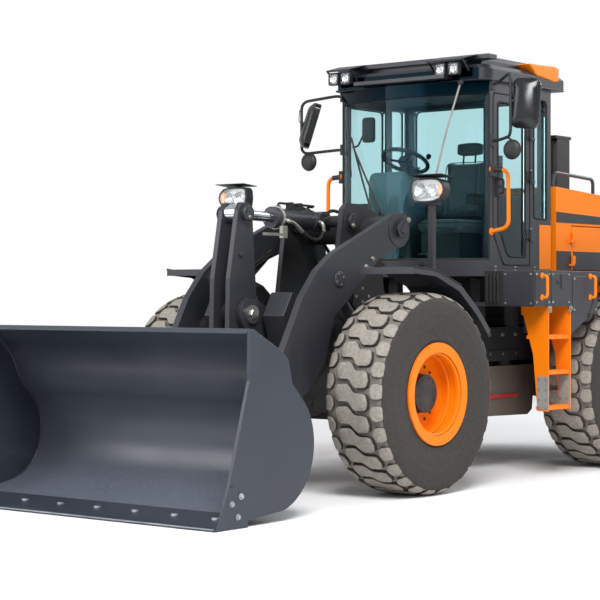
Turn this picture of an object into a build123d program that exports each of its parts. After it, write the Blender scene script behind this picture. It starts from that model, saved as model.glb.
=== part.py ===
from build123d import *
import math
import os

# Articulated wheel loader, millimetres. X runs forward, Y to the left, Z up from the ground.

# Wheels and axles
TYRE_RADIUS = 735.0
TYRE_WIDTH = 520.0
RIM_SEAT_RADIUS = 320.0
RIM_FLANGE_RADIUS = 372.0
TRACK = 1930.0
WHEELBASE = 2900.0
FRONT_AXLE_X = 1045.0
AXLE_TUBE_RADIUS = 130.0
AXLE_CASE_RADIUS = 215.0
AXLE_SADDLE_RISE = 222.0
TRUNNION_RADIUS = 95.0
HUB_RADIUS = 138.0

# Articulation and steering
ARTICULATION_PIN_RADIUS = 45.0
STEER_PIN_REACH_REAR = 645.0
STEER_PIN_REACH_FRONT = 185.0
STEER_PIN_Y = 300.0
STEER_BARREL_RADIUS = 48.0
STEER_ROD_RADIUS = 25.0
STEER_EYE_HALF = 40.0
STEER_LUG = 25.0

# Frames
FRAME_PLATE = 40.0
TONGUE = 60.0
FORK_PLATE = 40.0
FORK_GAP = 10.0
CROSS_MEMBER = 50.0
FRONT_FRAME_HALF_WIDTH = 330.0
TOWER_OUTER_Y = 290.0
REAR_FRAME_HALF_WIDTH = 460.0
REAR_OVERHANG = 1720.0

# Lift arms and linkage, seen from the side
BOOM_PIVOT_RISE = 1210.0
BOOM_PIVOT_SETBACK = 405.0
BOOM_REACH = 1800.0
BOOM_FACE_Y = 570.0
BOOM_PLATE = 55.0
BOOM_PIN_RADIUS = 48.0
BOOM_BOSS_RADIUS = 132.0
BUCKET_PIN_Z = 390.0
BUCKET_PIN_RADIUS = 42.0
TIP_BOSS_RADIUS = 108.0
CRANK_GAP = 110.0
CRANK_PLATE = 40.0
CRANK_PIN_RADIUS = 45.0
LINK_PIN_RADIUS = 38.0
LINK_LUG = 32.0
CROSS_TUBE_RADIUS = 120.0
TILT_BARREL_RADIUS = 72.5
TILT_ROD_RADIUS = 37.5
TILT_BARREL_LENGTH = 600.0
LIFT_CYLINDER_Y = 435.0
LIFT_BARREL_RADIUS = 62.0
LIFT_ROD_RADIUS = 35.0
LIFT_BARREL_LENGTH = 960.0

# Bucket
BUCKET_WIDTH = 2550.0
BUCKET_SIDE_PLATE = 25.0
BUCKET_SHELL = 20.0
BUCKET_REACH = 1135.0
BUCKET_BACK_RADIUS = 427.0
CUTTING_EDGE = 30.0

# Side platforms and ladders
PLATFORM_OUTER = 1200.0
PLATFORM_WALL = 30.0
LADDER_SIDE = 12.0

# Cab
CAB_HALF_WIDTH = 740.0
CAB_WALL = 45.0
CAB_LENGTH = 935.0
CAB_TO_PIVOT = 30.0
CAB_NOSE_BULGE = 185.0
CAB_FLOOR_RISE = 865.0
CAB_HEIGHT = 1560.0
GLASS = 8.0
DOOR_GAP = 8.0
HINGE_STANDOFF = 18.0
HINGE_RADIUS = 12.0
DOOR_PANEL = 38.0
DOOR_OPENING_LENGTH = 560.0

# Engine cover
HOOD_HALF_WIDTH = 750.0
HOOD_SHEET = 30.0
HOOD_TOP_RISE = 1625.0
HOOD_SKIRT_INSET = 120.0
HOOD_BASE_RISE = 790.0
GRILLE_HALF_WIDTH = 560.0
COUNTERWEIGHT_HALF_WIDTH = 900.0
TOW_PIN_RADIUS = 20.0

# Small gaps between pieces
FIT = 0.4
SIDE_GAP = 5.0

# Places that follow from the sizes above
AXLE_Z = TYRE_RADIUS
REAR_AXLE_X = FRONT_AXLE_X - WHEELBASE
PIVOT_X = (FRONT_AXLE_X + REAR_AXLE_X) / 2
WHEEL_Y = TRACK / 2
BOOM_PIVOT = (FRONT_AXLE_X - BOOM_PIVOT_SETBACK, AXLE_Z + BOOM_PIVOT_RISE)
BUCKET_PIN = (BOOM_PIVOT[0] + BOOM_REACH, BUCKET_PIN_Z)
CRANK_PIVOT = (BOOM_PIVOT[0] + 1240, BOOM_PIVOT[1] - 635)
CRANK_TOP = (CRANK_PIVOT[0] + 5, CRANK_PIVOT[1] + 730)
CRANK_FOOT = (CRANK_PIVOT[0] + 110, CRANK_PIVOT[1] - 740)
BUCKET_LINK_PIN = (BUCKET_PIN[0] + 80, BUCKET_PIN[1] + 225)
TILT_BASE = (FRONT_AXLE_X - 165, AXLE_Z + 1275)
LIFT_BASE = (FRONT_AXLE_X - 485, AXLE_Z + 25)
LIFT_EYE = (BOOM_PIVOT[0] + 750, BOOM_PIVOT[1] - 380)
BOOM_INNER_Y = BOOM_FACE_Y - BOOM_PLATE
CRANK_OUTER_Y = CRANK_GAP / 2 + CRANK_PLATE
LINK_HALF_WIDTH = CRANK_GAP / 2 - SIDE_GAP
CAB_FRONT_X = PIVOT_X + CAB_TO_PIVOT
CAB_BACK_X = CAB_FRONT_X - CAB_LENGTH
CAB_BASE_Z = AXLE_Z + CAB_FLOOR_RISE
CAB_TOP_Z = CAB_BASE_Z + CAB_HEIGHT
HOOD_BACK_X = REAR_AXLE_X - REAR_OVERHANG + 65
HOOD_FRONT_X = CAB_BACK_X - 70
STEER_Z = AXLE_Z + 115
ENGINE_BASE_Z = AXLE_Z + 455
UPPER_TONGUE_Z = AXLE_Z + 395
LOWER_TONGUE_Z = AXLE_Z - 225
FRONT_BOX_BACK = PIVOT_X + 300
CROSS_TUBE = (CRANK_PIVOT[0] - 290, CRANK_PIVOT[1] - 130)
HOOD_DOOR_FRONT = HOOD_FRONT_X - 250
HOOD_DOOR_BACK = HOOD_BACK_X + 260
HOOD_DOOR_LOW = AXLE_Z + HOOD_BASE_RISE + 128
HOOD_DOOR_HIGH = AXLE_Z + HOOD_TOP_RISE - 320
GRILLE_LOW = AXLE_Z + HOOD_BASE_RISE + 60
GRILLE_HIGH = AXLE_Z + HOOD_TOP_RISE - 400
PLATFORM_FRONT = PIVOT_X + 115
PLATFORM_BACK = PIVOT_X - 450
PLATFORM_LOW = AXLE_Z + 625
PLATFORM_HIGH = AXLE_Z + 905
LADDER_FRONT = PIVOT_X - 97
LADDER_BACK = PLATFORM_BACK + 3
DOOR_FRONT = CAB_FRONT_X - 42
DOOR_BACK = DOOR_FRONT - DOOR_OPENING_LENGTH
DOOR_LOW = CAB_BASE_Z + 90
DOOR_HIGH = CAB_TOP_Z - 90
QUARTER_FRONT = DOOR_BACK - 60
QUARTER_BACK = CAB_BACK_X + 70
SILL_Z = CAB_BASE_Z + 130
GLASS_TOP_Z = CAB_TOP_Z - 95

written = []


def save(name, *solids):
    shape = solids[0] if len(solids) == 1 else Compound(children=list(solids))
    export_step(shape, f"parts/{name}.step")
    written.append(name)


def block(x_low, x_high, y_low, y_high, z_low, z_high):
    middle = Pos((x_low + x_high) / 2, (y_low + y_high) / 2, (z_low + z_high) / 2)
    return middle * Box(x_high - x_low, y_high - y_low, z_high - z_low)


def side_plate(outline, y_low, y_high):
    corners = Polyline(*[(x, y_low, z) for x, z in outline], close=True)
    return extrude(make_face(corners), amount=y_high - y_low, dir=(0, 1, 0))


def cross_plate(outline, x_low, x_high):
    corners = Polyline(*[(x_low, y, z) for y, z in outline], close=True)
    return extrude(make_face(corners), amount=x_high - x_low, dir=(1, 0, 0))


def floor_plate(outline, z_low, z_high):
    corners = Polyline(*[(x, y, z_low) for x, y in outline], close=True)
    return extrude(make_face(corners), amount=z_high - z_low, dir=(0, 0, 1))


def bar_y(place, radius, y_low, y_high):
    middle = Pos(place[0], (y_low + y_high) / 2, place[1])
    return middle * Rot(90, 0, 0) * Cylinder(radius, y_high - y_low)


def bar_x(y, z, radius, x_low, x_high):
    return Pos((x_low + x_high) / 2, y, z) * Rot(0, 90, 0) * Cylinder(radius, x_high - x_low)


def bar_z(x, y, radius, z_low, z_high):
    return Pos(x, y, (z_low + z_high) / 2) * Cylinder(radius, z_high - z_low)


def bar_between(start, end, radius):
    axis = Vector(*end) - Vector(*start)
    return extrude(Plane(origin=start, z_dir=axis) * Circle(radius), amount=axis.length)


def bent_tube(points, bend, radius):
    path = FilletPolyline(*points, radius=bend)
    return sweep(Plane(origin=path @ 0, z_dir=path % 0) * Circle(radius), path=path)


def other_side(shape):
    return mirror(shape, about=Plane.XZ)


def shifted(place, dx, dz):
    return (place[0] + dx, place[1] + dz)


def ring_profile(points):
    return Plane.XY * make_face(Polyline(*points, close=True))


# Wheels

def tyre(x, y):
    half = TYRE_WIDTH / 2
    bead = RIM_SEAT_RADIUS + FIT
    profile = [
        (bead, -half + 45),
        (RIM_FLANGE_RADIUS + 6, -half + 30),
        (TYRE_RADIUS - 220, -half),
        (TYRE_RADIUS - 120, -half),
        (TYRE_RADIUS - 35, -half + 18),
        (TYRE_RADIUS - 8, -half + 50),
        (TYRE_RADIUS, -half + 120),
        (TYRE_RADIUS, half - 120),
        (TYRE_RADIUS - 8, half - 50),
        (TYRE_RADIUS - 35, half - 18),
        (TYRE_RADIUS - 120, half),
        (TYRE_RADIUS - 220, half),
        (RIM_FLANGE_RADIUS + 6, half - 30),
        (bead, half - 45),
    ]
    return Pos(x, y, AXLE_Z) * revolve(ring_profile(profile), axis=Axis.Y)


def rim(x, y):
    half = TYRE_WIDTH / 2
    seat = RIM_SEAT_RADIUS
    flange = RIM_FLANGE_RADIUS
    outward = 1 if y > 0 else -1
    barrel = [
        (seat - 18, -half + 20),
        (flange, -half + 20),
        (flange, -half + 29),
        (seat, -half + 44),
        (seat, half - 44),
        (flange, half - 29),
        (flange, half - 20),
        (seat - 18, half - 20),
    ]
    disc = [
        (0, -100),
        (HUB_RADIUS + 40, -100),
        (HUB_RADIUS + 40, 10),
        (seat - 20, 48),
        (seat - 20, 70),
        (HUB_RADIUS, 32),
        (HUB_RADIUS, 125),
        (HUB_RADIUS - 18, 140),
        (0, 140),
    ]
    turned = [(r, outward * s) for r, s in disc]
    ring = revolve(ring_profile(barrel), axis=Axis.Y)
    centre = revolve(ring_profile(turned), axis=Axis.Y)
    web = Rot(90, 0, 0) * Cylinder(seat - 10, 12) - Rot(90, 0, 0) * Cylinder(HUB_RADIUS, 40)
    return Pos(x, y, AXLE_Z) * (ring + centre + Pos(0, outward * 59, 0) * web)


def axle(x, nose):
    end = WHEEL_Y - 100 - FIT
    tube = bar_y((x, AXLE_Z), AXLE_TUBE_RADIUS, -end, end)
    case = Pos(x, 0, AXLE_Z) * Sphere(AXLE_CASE_RADIUS)
    cone = bar_y((x, AXLE_Z), AXLE_TUBE_RADIUS + 40, -330, 330)
    brake = bar_y((x, AXLE_Z), AXLE_TUBE_RADIUS + 55, 490, 630)
    snout = bar_x(0, AXLE_Z, TRUNNION_RADIUS, min(x, x + nose), max(x, x + nose))
    return tube + case + cone + brake + other_side(brake) + snout


def wheels():
    for end_name, x in (("front", FRONT_AXLE_X), ("rear", REAR_AXLE_X)):
        for side_name, y in (("left", WHEEL_Y), ("right", -WHEEL_Y)):
            save(f"{end_name}_{side_name}_tyre", tyre(x, y))
            save(f"{end_name}_{side_name}_rim", rim(x, y))


# Front frame, with the tower that carries the arms

def front_frame():
    half = FRONT_FRAME_HALF_WIDTH
    top = AXLE_Z + 515
    saddle = AXLE_Z + AXLE_SADDLE_RISE
    x = FRONT_AXLE_X
    lower = [
        (FRONT_BOX_BACK, LOWER_TONGUE_Z - TONGUE / 2),
        (x - 330, LOWER_TONGUE_Z - TONGUE / 2),
        (x - 240, saddle),
        (x + 250, saddle),
        (x + 250, top - 120),
        (x + 60, top),
        (FRONT_BOX_BACK, top),
    ]
    body = side_plate(lower, -half, half)
    hollow = [
        (FRONT_BOX_BACK + FRAME_PLATE, LOWER_TONGUE_Z - TONGUE),
        (x - 350, LOWER_TONGUE_Z - TONGUE),
        (x - 270, saddle + FRAME_PLATE),
        (x - 270, top - FRAME_PLATE),
        (FRONT_BOX_BACK + FRAME_PLATE, top - FRAME_PLATE),
    ]
    body -= side_plate(hollow, -half + FRAME_PLATE, half - FRAME_PLATE)
    body -= bar_x(0, AXLE_Z, 105, x - 420, x - 200)
    body -= bar_x(0, AXLE_Z, 65, FRONT_BOX_BACK - 30, FRONT_BOX_BACK + 70)
    body += tongues()
    body += tower(top)
    body += lift_lugs()
    body += steer_lugs()
    save("front_frame", body)


def tongues():
    plates = None
    for z in (UPPER_TONGUE_Z, LOWER_TONGUE_Z):
        low = z - TONGUE / 2
        high = z + TONGUE / 2
        outline = [
            (PIVOT_X, -135),
            (PIVOT_X, 135),
            (FRONT_BOX_BACK + 20, 220),
            (FRONT_BOX_BACK + 20, -220),
        ]
        plate = floor_plate(outline, low, high) + bar_z(PIVOT_X, 0, 135, low, high)
        plate -= bar_z(PIVOT_X, 0, ARTICULATION_PIN_RADIUS + FIT, low - 1, high + 1)
        plates = plate if plates is None else plates + plate
    return plates


def tower(base):
    x, z = BOOM_PIVOT
    c_x, c_z = TILT_BASE
    outline = [
        (x - 300, base - 60),
        (x + 480, base - 90),
        (c_x + 190, base + 250),
        (c_x + 95, c_z + 90),
        (c_x + 40, c_z + 135),
        (c_x - 80, c_z + 135),
        (x - 60, z + 150),
        (x - 130, z + 40),
        (x - 190, base + 250),
    ]
    inner = TOWER_OUTER_Y - FRAME_PLATE
    outer = TOWER_OUTER_Y
    cheeks = side_plate(outline, inner, outer) + side_plate(outline, -outer, -inner)
    tube_end = BOOM_INNER_Y - SIDE_GAP
    tube = bar_y(BOOM_PIVOT, BOOM_BOSS_RADIUS - 30, -tube_end, tube_end)
    back_wall = block(x - 290, x - 250, -inner, inner, base - 30, base + 160)
    pin = bar_y(TILT_BASE, CRANK_PIN_RADIUS, -outer - 25, outer + 25)
    boom_pin = bar_y(BOOM_PIVOT, BOOM_PIN_RADIUS, -BOOM_FACE_Y - 30, BOOM_FACE_Y + 30)
    boss = bar_y(TILT_BASE, 80, inner - 30, outer + 8)
    return cheeks + tube + back_wall + pin + boom_pin + boss + other_side(boss)


def lift_lugs():
    half = FRONT_FRAME_HALF_WIDTH
    inner = LIFT_CYLINDER_Y - LINK_HALF_WIDTH + 12
    lugs = None
    for s in (-1, 1):
        near = sorted((s * (half - 10), s * (inner - SIDE_GAP)))
        pin = sorted((s * (half - 10), s * (LIFT_CYLINDER_Y + 58)))
        lug = bar_y(LIFT_BASE, 85, near[0], near[1])
        lug += bar_y(LIFT_BASE, LINK_PIN_RADIUS, pin[0], pin[1])
        lugs = lug if lugs is None else lugs + lug
    return lugs


def steer_lug_heights():
    reach = STEER_EYE_HALF + SIDE_GAP
    return (STEER_Z - reach - STEER_LUG, STEER_Z + reach)


def steer_lugs():
    x = PIVOT_X + STEER_PIN_REACH_FRONT
    lugs = None
    for s in (-1, 1):
        for z in steer_lug_heights():
            ends = sorted((s * (STEER_PIN_Y - 60), s * FRONT_FRAME_HALF_WIDTH))
            lug = block(x, FRONT_BOX_BACK + 20, ends[0], ends[1], z, z + STEER_LUG)
            lug += bar_z(x, s * STEER_PIN_Y, 60, z, z + STEER_LUG)
            lugs = lug if lugs is None else lugs + lug
    return lugs


def front_axle():
    solid = axle(FRONT_AXLE_X, -330)
    pad_top = AXLE_Z + AXLE_SADDLE_RISE
    pads = block(FRONT_AXLE_X - 120, FRONT_AXLE_X + 120, -300, 300, AXLE_Z + 60, pad_top)
    shaft = bar_x(0, AXLE_Z, 42, PIVOT_X + 130, FRONT_AXLE_X - 200)
    save("front_axle", solid + pads + shaft)


def front_fenders():
    x = FRONT_AXLE_X
    sheet = 10
    top = [(280, 915), (0, 895), (-320, 788), (-560, 608), (-720, 452)]
    under = [(280, 905), (0, 885), (-315, 779), (-553, 601), (-713, 445)]
    outline = [(x + a, AXLE_Z + b) for a, b in top]
    outline += [(x + a, AXLE_Z + b) for a, b in reversed(under)]
    low = 700
    high = 1190
    one = side_plate(outline, low, high)
    one += block(x + 270, x + 280, low, high, AXLE_Z + 865, AXLE_Z + 910)
    skirt = [(x + a, AXLE_Z + b) for a, b in top]
    skirt += [(x + a + (20 if a < 0 else 0), AXLE_Z + b - 45) for a, b in reversed(top)]
    one += side_plate(skirt, high - sheet, high)
    stay_z = AXLE_Z + 525
    one += block(x - 640, x - 560, TOWER_OUTER_Y + FIT, high - 60, stay_z, stay_z + 40)
    gusset = [
        (x - 640, stay_z + 39),
        (x - 560, stay_z + 39),
        (x - 560, AXLE_Z + 603),
        (x - 590, AXLE_Z + 574),
    ]
    one += side_plate(gusset, low, low + 20) + side_plate(gusset, high - 80, high - 60)
    save("front_fenders", one, other_side(one))


def headlights():
    x = FRONT_AXLE_X - 294
    y = 950
    post = block(x - 22, x + 22, y - 22, y + 22, AXLE_Z + 770, AXLE_Z + 1400)
    under = [
        (FRONT_AXLE_X, AXLE_Z + 895 + FIT),
        (FRONT_AXLE_X - 320, AXLE_Z + 788 + FIT),
        (FRONT_AXLE_X - 320, AXLE_Z + 700),
        (FRONT_AXLE_X, AXLE_Z + 700),
    ]
    post -= side_plate(under, y - 30, y + 30)
    lamp = block(x - 75, x + 70, y - 145, y + 145, AXLE_Z + 1400, AXLE_Z + 1580)
    lamp = fillet(lamp.edges().filter_by(Axis.X), 30)
    visor = block(x - 75, x + 105, y - 150, y + 150, AXLE_Z + 1585, AXLE_Z + 1593)
    visor += block(x - 75, x - 63, y - 150, y + 150, AXLE_Z + 1560, AXLE_Z + 1593)
    marker = block(x - 60, x + 60, y + 146, y + 172, AXLE_Z + 1425, AXLE_Z + 1545)
    seat = block(x - 70, x + 60, y + 140, y + 148, AXLE_Z + 1425, AXLE_Z + 1545)
    one = post + lamp + visor + marker + seat
    save("headlights", one, other_side(one))


# Rear frame and what it carries

def rear_frame():
    half = REAR_FRAME_HALF_WIDTH
    back = REAR_AXLE_X - REAR_OVERHANG + 300
    wall_x = PIVOT_X - 215
    low = AXLE_Z + 165
    high = AXLE_Z + 445
    rails = None
    for s in (-1, 1):
        ends = sorted((s * half, s * (half - FRAME_PLATE)))
        rail = block(back, wall_x, ends[0], ends[1], low, high)
        rails = rail if rails is None else rails + rail
    wall = block(wall_x - FRAME_PLATE, wall_x, -half, half, LOWER_TONGUE_Z - 90, AXLE_Z + 485)
    wall -= block(wall_x - 60, wall_x + 20, -half + 30, half - 30, AXLE_Z - 80, STEER_Z + 110)
    body = rails + wall
    member = CROSS_MEMBER / 2
    member_top = low + 180
    body += block(REAR_AXLE_X + 850, REAR_AXLE_X + 900, -half + 10, half - 10, low + 30, member_top)
    for x in (REAR_AXLE_X + 255, REAR_AXLE_X - 255, REAR_AXLE_X - 900):
        body += block(x - member, x + member, -half + 10, half - 10, low, member_top)
    for x in (REAR_AXLE_X + 255, REAR_AXLE_X - 255):
        body += block(x - member, x + member, -210, 210, AXLE_Z - 130, low + 20)
        body -= bar_x(0, AXLE_Z, TRUNNION_RADIUS + FIT, x - 30, x + 30)
    body += fork_plates(wall_x)
    body += rear_steer_lugs()
    mounts = []
    for x in (wall_x - FRAME_PLATE - FIT - 40, CAB_BACK_X + 100):
        post = block(x - 40, x + 40, half - 90, half, high + FIT, CAB_BASE_Z - FIT)
        mounts += [post, other_side(post)]
    skirt_y = HOOD_HALF_WIDTH - HOOD_SKIRT_INSET - FIT
    for x in (REAR_AXLE_X + 255, REAR_AXLE_X - 255, REAR_AXLE_X - 900):
        outrigger = block(x - member, x + member, half + FIT, skirt_y, AXLE_Z + 300, member_top)
        mounts += [outrigger, other_side(outrigger)]
    foot_y = half - FRAME_PLATE - FIT
    for x in (REAR_AXLE_X - 255, REAR_AXLE_X - 900):
        mounts.append(block(x - 40, x + 40, -foot_y, foot_y, member_top + FIT, ENGINE_BASE_Z - FIT))
    save("rear_frame", body, *articulation_pins(), *mounts)


def fork_plates(wall_x):
    plates = None
    for z in (UPPER_TONGUE_Z, LOWER_TONGUE_Z):
        for low in (z + TONGUE / 2 + FORK_GAP, z - TONGUE / 2 - FORK_GAP - FORK_PLATE):
            outline = [
                (PIVOT_X, -140),
                (PIVOT_X, 140),
                (wall_x - 10, 260),
                (wall_x - 10, -260),
            ]
            plate = floor_plate(outline, low, low + FORK_PLATE)
            plate += bar_z(PIVOT_X, 0, 140, low, low + FORK_PLATE)
            plate -= bar_z(PIVOT_X, 0, ARTICULATION_PIN_RADIUS + FIT, low - 1, low + FORK_PLATE + 1)
            plates = plate if plates is None else plates + plate
    return plates


def articulation_pins():
    pins = []
    reach = TONGUE / 2 + FORK_GAP + FORK_PLATE
    for z in (UPPER_TONGUE_Z, LOWER_TONGUE_Z):
        pin = bar_z(PIVOT_X, 0, ARTICULATION_PIN_RADIUS, z - reach - 10, z + reach + FIT)
        pins.append(pin + bar_z(PIVOT_X, 0, 80, z + reach + FIT, z + reach + 22))
    return pins


def rear_steer_lugs():
    x = PIVOT_X - STEER_PIN_REACH_REAR
    lugs = None
    for s in (-1, 1):
        for z in steer_lug_heights():
            ends = sorted((s * (STEER_PIN_Y - 60), s * (REAR_FRAME_HALF_WIDTH - 20)))
            lug = block(x - 60, x + 60, ends[0], ends[1], z, z + STEER_LUG)
            lugs = lug if lugs is None else lugs + lug
        pin = bar_z(x, s * STEER_PIN_Y, 30, STEER_Z - 60, STEER_Z + 60)
        lugs += pin
        wall = sorted((s * (REAR_FRAME_HALF_WIDTH - 40), s * REAR_FRAME_HALF_WIDTH))
        lugs += block(x - 60, x + 60, wall[0], wall[1], STEER_Z - 70, AXLE_Z + 170)
    return lugs


def rear_axle():
    solid = axle(REAR_AXLE_X, 300)
    trunnions = bar_x(0, AXLE_Z, TRUNNION_RADIUS, REAR_AXLE_X - 285, REAR_AXLE_X + 285)
    save("rear_axle", solid + trunnions)


def transmission():
    x = REAR_AXLE_X
    case = block(x + 330, x + 800, -220, 220, AXLE_Z - 170, AXLE_Z + 330)
    case = fillet(case.edges().filter_by(Axis.Y), 60)
    shaft = bar_x(0, AXLE_Z, 42, x + 790, PIVOT_X - 50)
    shaft += bar_x(0, AXLE_Z, 42, x + 300 + FIT, x + 340)
    yoke = Pos(PIVOT_X, 0, AXLE_Z) * Sphere(60)
    neck = bar_x(0, AXLE_Z, 34, PIVOT_X - 70, PIVOT_X + 110)
    save("transmission", case + shaft + yoke + neck)


def engine_block():
    x = REAR_AXLE_X
    save("engine_block", block(x - 1030, x + 150, -330, 330, ENGINE_BASE_Z, AXLE_Z + 1200))


def counterweight():
    half = COUNTERWEIGHT_HALF_WIDTH
    back = REAR_AXLE_X - REAR_OVERHANG
    mass = block(back, back + 640, -half, half, AXLE_Z - 130, AXLE_Z + HOOD_BASE_RISE - 12)
    corners = mass.edges().filter_by(Axis.Z).sort_by(Axis.X)[:2]
    mass = fillet(corners, 220)
    rail_y = REAR_FRAME_HALF_WIDTH + FIT
    notch = block(back + 295, back + 700, -rail_y, rail_y, AXLE_Z + 160, AXLE_Z + 450)
    mass -= notch
    recess = block(back - 1, back + 90, -160, 160, AXLE_Z + 20, AXLE_Z + 160)
    mass -= recess
    mass -= bar_z(back + 45, 0, TOW_PIN_RADIUS, AXLE_Z - 131, AXLE_Z + 240)
    save("counterweight", mass)


def hood_outline(inset):
    front = HOOD_FRONT_X - inset
    back = HOOD_BACK_X + inset
    return [
        (front, AXLE_Z + HOOD_BASE_RISE - (60 if inset else 0)),
        (front, AXLE_Z + HOOD_TOP_RISE - inset),
        (HOOD_FRONT_X - 800, AXLE_Z + HOOD_TOP_RISE - 45 - inset),
        (back + 160, AXLE_Z + HOOD_TOP_RISE - 190 - inset),
        (back, AXLE_Z + HOOD_TOP_RISE - 300 - inset),
        (back, AXLE_Z + HOOD_BASE_RISE - (60 if inset else 0)),
    ]


def engine_hood():
    half = HOOD_HALF_WIDTH
    shell = side_plate(hood_outline(0), -half, half)
    shell = fillet(shell.edges().filter_by(Axis.X).group_by(Axis.Z)[-1], 60)
    shell -= side_plate(hood_outline(HOOD_SHEET), -half + HOOD_SHEET, half - HOOD_SHEET)
    shell -= block(HOOD_DOOR_BACK, HOOD_DOOR_FRONT, -half - 1, half + 1, HOOD_DOOR_LOW, HOOD_DOOR_HIGH)
    back = HOOD_BACK_X
    wide = GRILLE_HALF_WIDTH
    shell -= block(back - 1, back + HOOD_SHEET + 1, -wide, wide, GRILLE_LOW, GRILLE_HIGH)
    hinge_x = HOOD_DOOR_FRONT - DOOR_GAP
    for s in (-1, 1):
        for z in (HOOD_DOOR_LOW + 60, HOOD_DOOR_HIGH - 130):
            low = z - FIT - 16
            leaf = sorted((s * (half - 2), s * (half + HINGE_STANDOFF + HINGE_RADIUS)))
            shell += block(hinge_x + HINGE_RADIUS - 2, hinge_x + 50, leaf[0], leaf[1], low, low + 16)
            shell += bar_z(hinge_x, s * (half + HINGE_STANDOFF), HINGE_RADIUS, low, low + 16)
    pin_y = GRILLE_HALF_WIDTH - DOOR_GAP
    for z in (GRILLE_LOW + 80, GRILLE_HIGH - 150):
        low = z - FIT - 16
        ear = back - HINGE_STANDOFF
        shell += block(ear - HINGE_RADIUS, back + 2, pin_y + HINGE_RADIUS - 2, pin_y + 50, low, low + 16)
        shell += bar_z(ear, pin_y, HINGE_RADIUS, low, low + 16)
    inner = HOOD_HALF_WIDTH - HOOD_SKIRT_INSET
    front_end = HOOD_FRONT_X - 20
    back_end = REAR_AXLE_X - REAR_OVERHANG + 650
    for s in (-1, 1):
        ledge = sorted((s * inner, s * (half - HOOD_SHEET)))
        skirt = sorted((s * inner, s * (inner + 12)))
        base = AXLE_Z + HOOD_BASE_RISE
        shell += block(back_end, front_end, ledge[0], ledge[1], base, base + 12)
        shell += block(back_end, front_end, skirt[0], skirt[1], AXLE_Z + 300, base + 1)
    save("engine_hood", shell)


def hood_doors():
    half = HOOD_HALF_WIDTH
    gap = DOOR_GAP
    panel = block(
        HOOD_DOOR_BACK + gap,
        HOOD_DOOR_FRONT - gap,
        half - HOOD_SHEET + 2,
        half,
        HOOD_DOOR_LOW + gap,
        HOOD_DOOR_HIGH - gap,
    )
    hinge_x = HOOD_DOOR_FRONT - gap
    left = panel
    for z in (HOOD_DOOR_LOW + 60, HOOD_DOOR_HIGH - 130):
        left += bar_z(hinge_x, half + HINGE_STANDOFF, HINGE_RADIUS, z, z + 70)
        left += block(hinge_x - 40, hinge_x, half - 2, half + HINGE_STANDOFF, z, z + 70)
    save("hood_door_left", left)
    save("hood_door_right", other_side(left))


def rear_grille():
    gap = DOOR_GAP
    back = HOOD_BACK_X
    wide = GRILLE_HALF_WIDTH - gap
    frame = block(back, back + 28, -wide, wide, GRILLE_LOW + gap, GRILLE_HIGH - gap)
    frame -= block(back - 1, back + 29, -wide + 50, wide - 50, GRILLE_LOW + 60, GRILLE_HIGH - 60)
    bars = 9
    step = (GRILLE_HIGH - GRILLE_LOW - 120) / bars
    for n in range(bars):
        z = GRILLE_LOW + 60 + step * (n + 0.5)
        frame += block(back + 6, back + 22, -wide + 40, wide - 40, z - 11, z + 11)
    for z in (GRILLE_LOW + 80, GRILLE_HIGH - 150):
        frame += bar_z(back - HINGE_STANDOFF, wide, HINGE_RADIUS, z, z + 70)
        frame += block(back - HINGE_STANDOFF, back + 2, wide - 40, wide, z, z + 70)
    save("rear_grille", frame)


def stack_and_rails():
    x = HOOD_FRONT_X - 560
    base = AXLE_Z + HOOD_TOP_RISE - 45
    outline = [
        (x - 150, base),
        (x + 110, base),
        (x + 110, base + 430),
        (x + 60, base + 520),
        (x - 150, base + 520),
    ]
    duct = side_plate(outline, 330, 480)
    duct = fillet(duct.edges().filter_by(Axis.Z), 30)
    collar = block(x - 175, x + 135, 305, 505, base - 40 + 0.5, base + 40)
    hood_body = side_plate(hood_outline(0), -HOOD_HALF_WIDTH, HOOD_HALF_WIDTH)
    save("intake_duct", (duct + collar) - hood_body)
    rails = []
    for s in (-1, 1):
        y = s * (HOOD_HALF_WIDTH - 90)
        start = HOOD_FRONT_X - 90
        end = HOOD_FRONT_X - 780
        low = AXLE_Z + HOOD_TOP_RISE - 60
        high = AXLE_Z + HOOD_TOP_RISE + 130
        path = [(start, y, low), (start - 30, y, high), (end, y, high - 30), (end, y, low)]
        rail = bent_tube(path, 50, 15)
        rails.append(rail - hood_body)
    save("hood_rails", *rails)


# Side platforms, ladders and rear fenders

def side_platforms():
    back = PLATFORM_BACK
    front = PLATFORM_FRONT
    outer = PLATFORM_OUTER
    inner = CAB_HALF_WIDTH + 4
    wall = PLATFORM_WALL
    low = PLATFORM_LOW
    box = block(back, front, inner, outer, low, PLATFORM_HIGH)
    box -= block(back + wall, front - wall, inner - 1, outer - wall, low - 1, PLATFORM_HIGH - wall)
    box += block(back, front, REAR_FRAME_HALF_WIDTH + FIT, inner + 20, low, low + wall)
    save("side_platforms", box, other_side(box))


def rear_fenders():
    x = REAR_AXLE_X
    outer = PLATFORM_OUTER
    inner = HOOD_HALF_WIDTH + 6
    front = PLATFORM_BACK - FIT
    outline = [
        (front, PLATFORM_HIGH),
        (x + 540, PLATFORM_HIGH),
        (x - 520, PLATFORM_HIGH),
        (x - 820, AXLE_Z + 640),
        (x - 812, AXLE_Z + 630),
        (x - 512, PLATFORM_HIGH - 14),
        (x + 520, PLATFORM_HIGH - 14),
        (x + 730, AXLE_Z + 530),
        (front, AXLE_Z + 400),
    ]
    sheet = side_plate(outline, inner, outer)
    wall = PLATFORM_WALL
    pocket = block(x + 620, front - wall, inner - 1, outer - wall, AXLE_Z, PLATFORM_HIGH - wall)
    sheet -= pocket
    save("rear_fenders", sheet, other_side(sheet))


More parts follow.
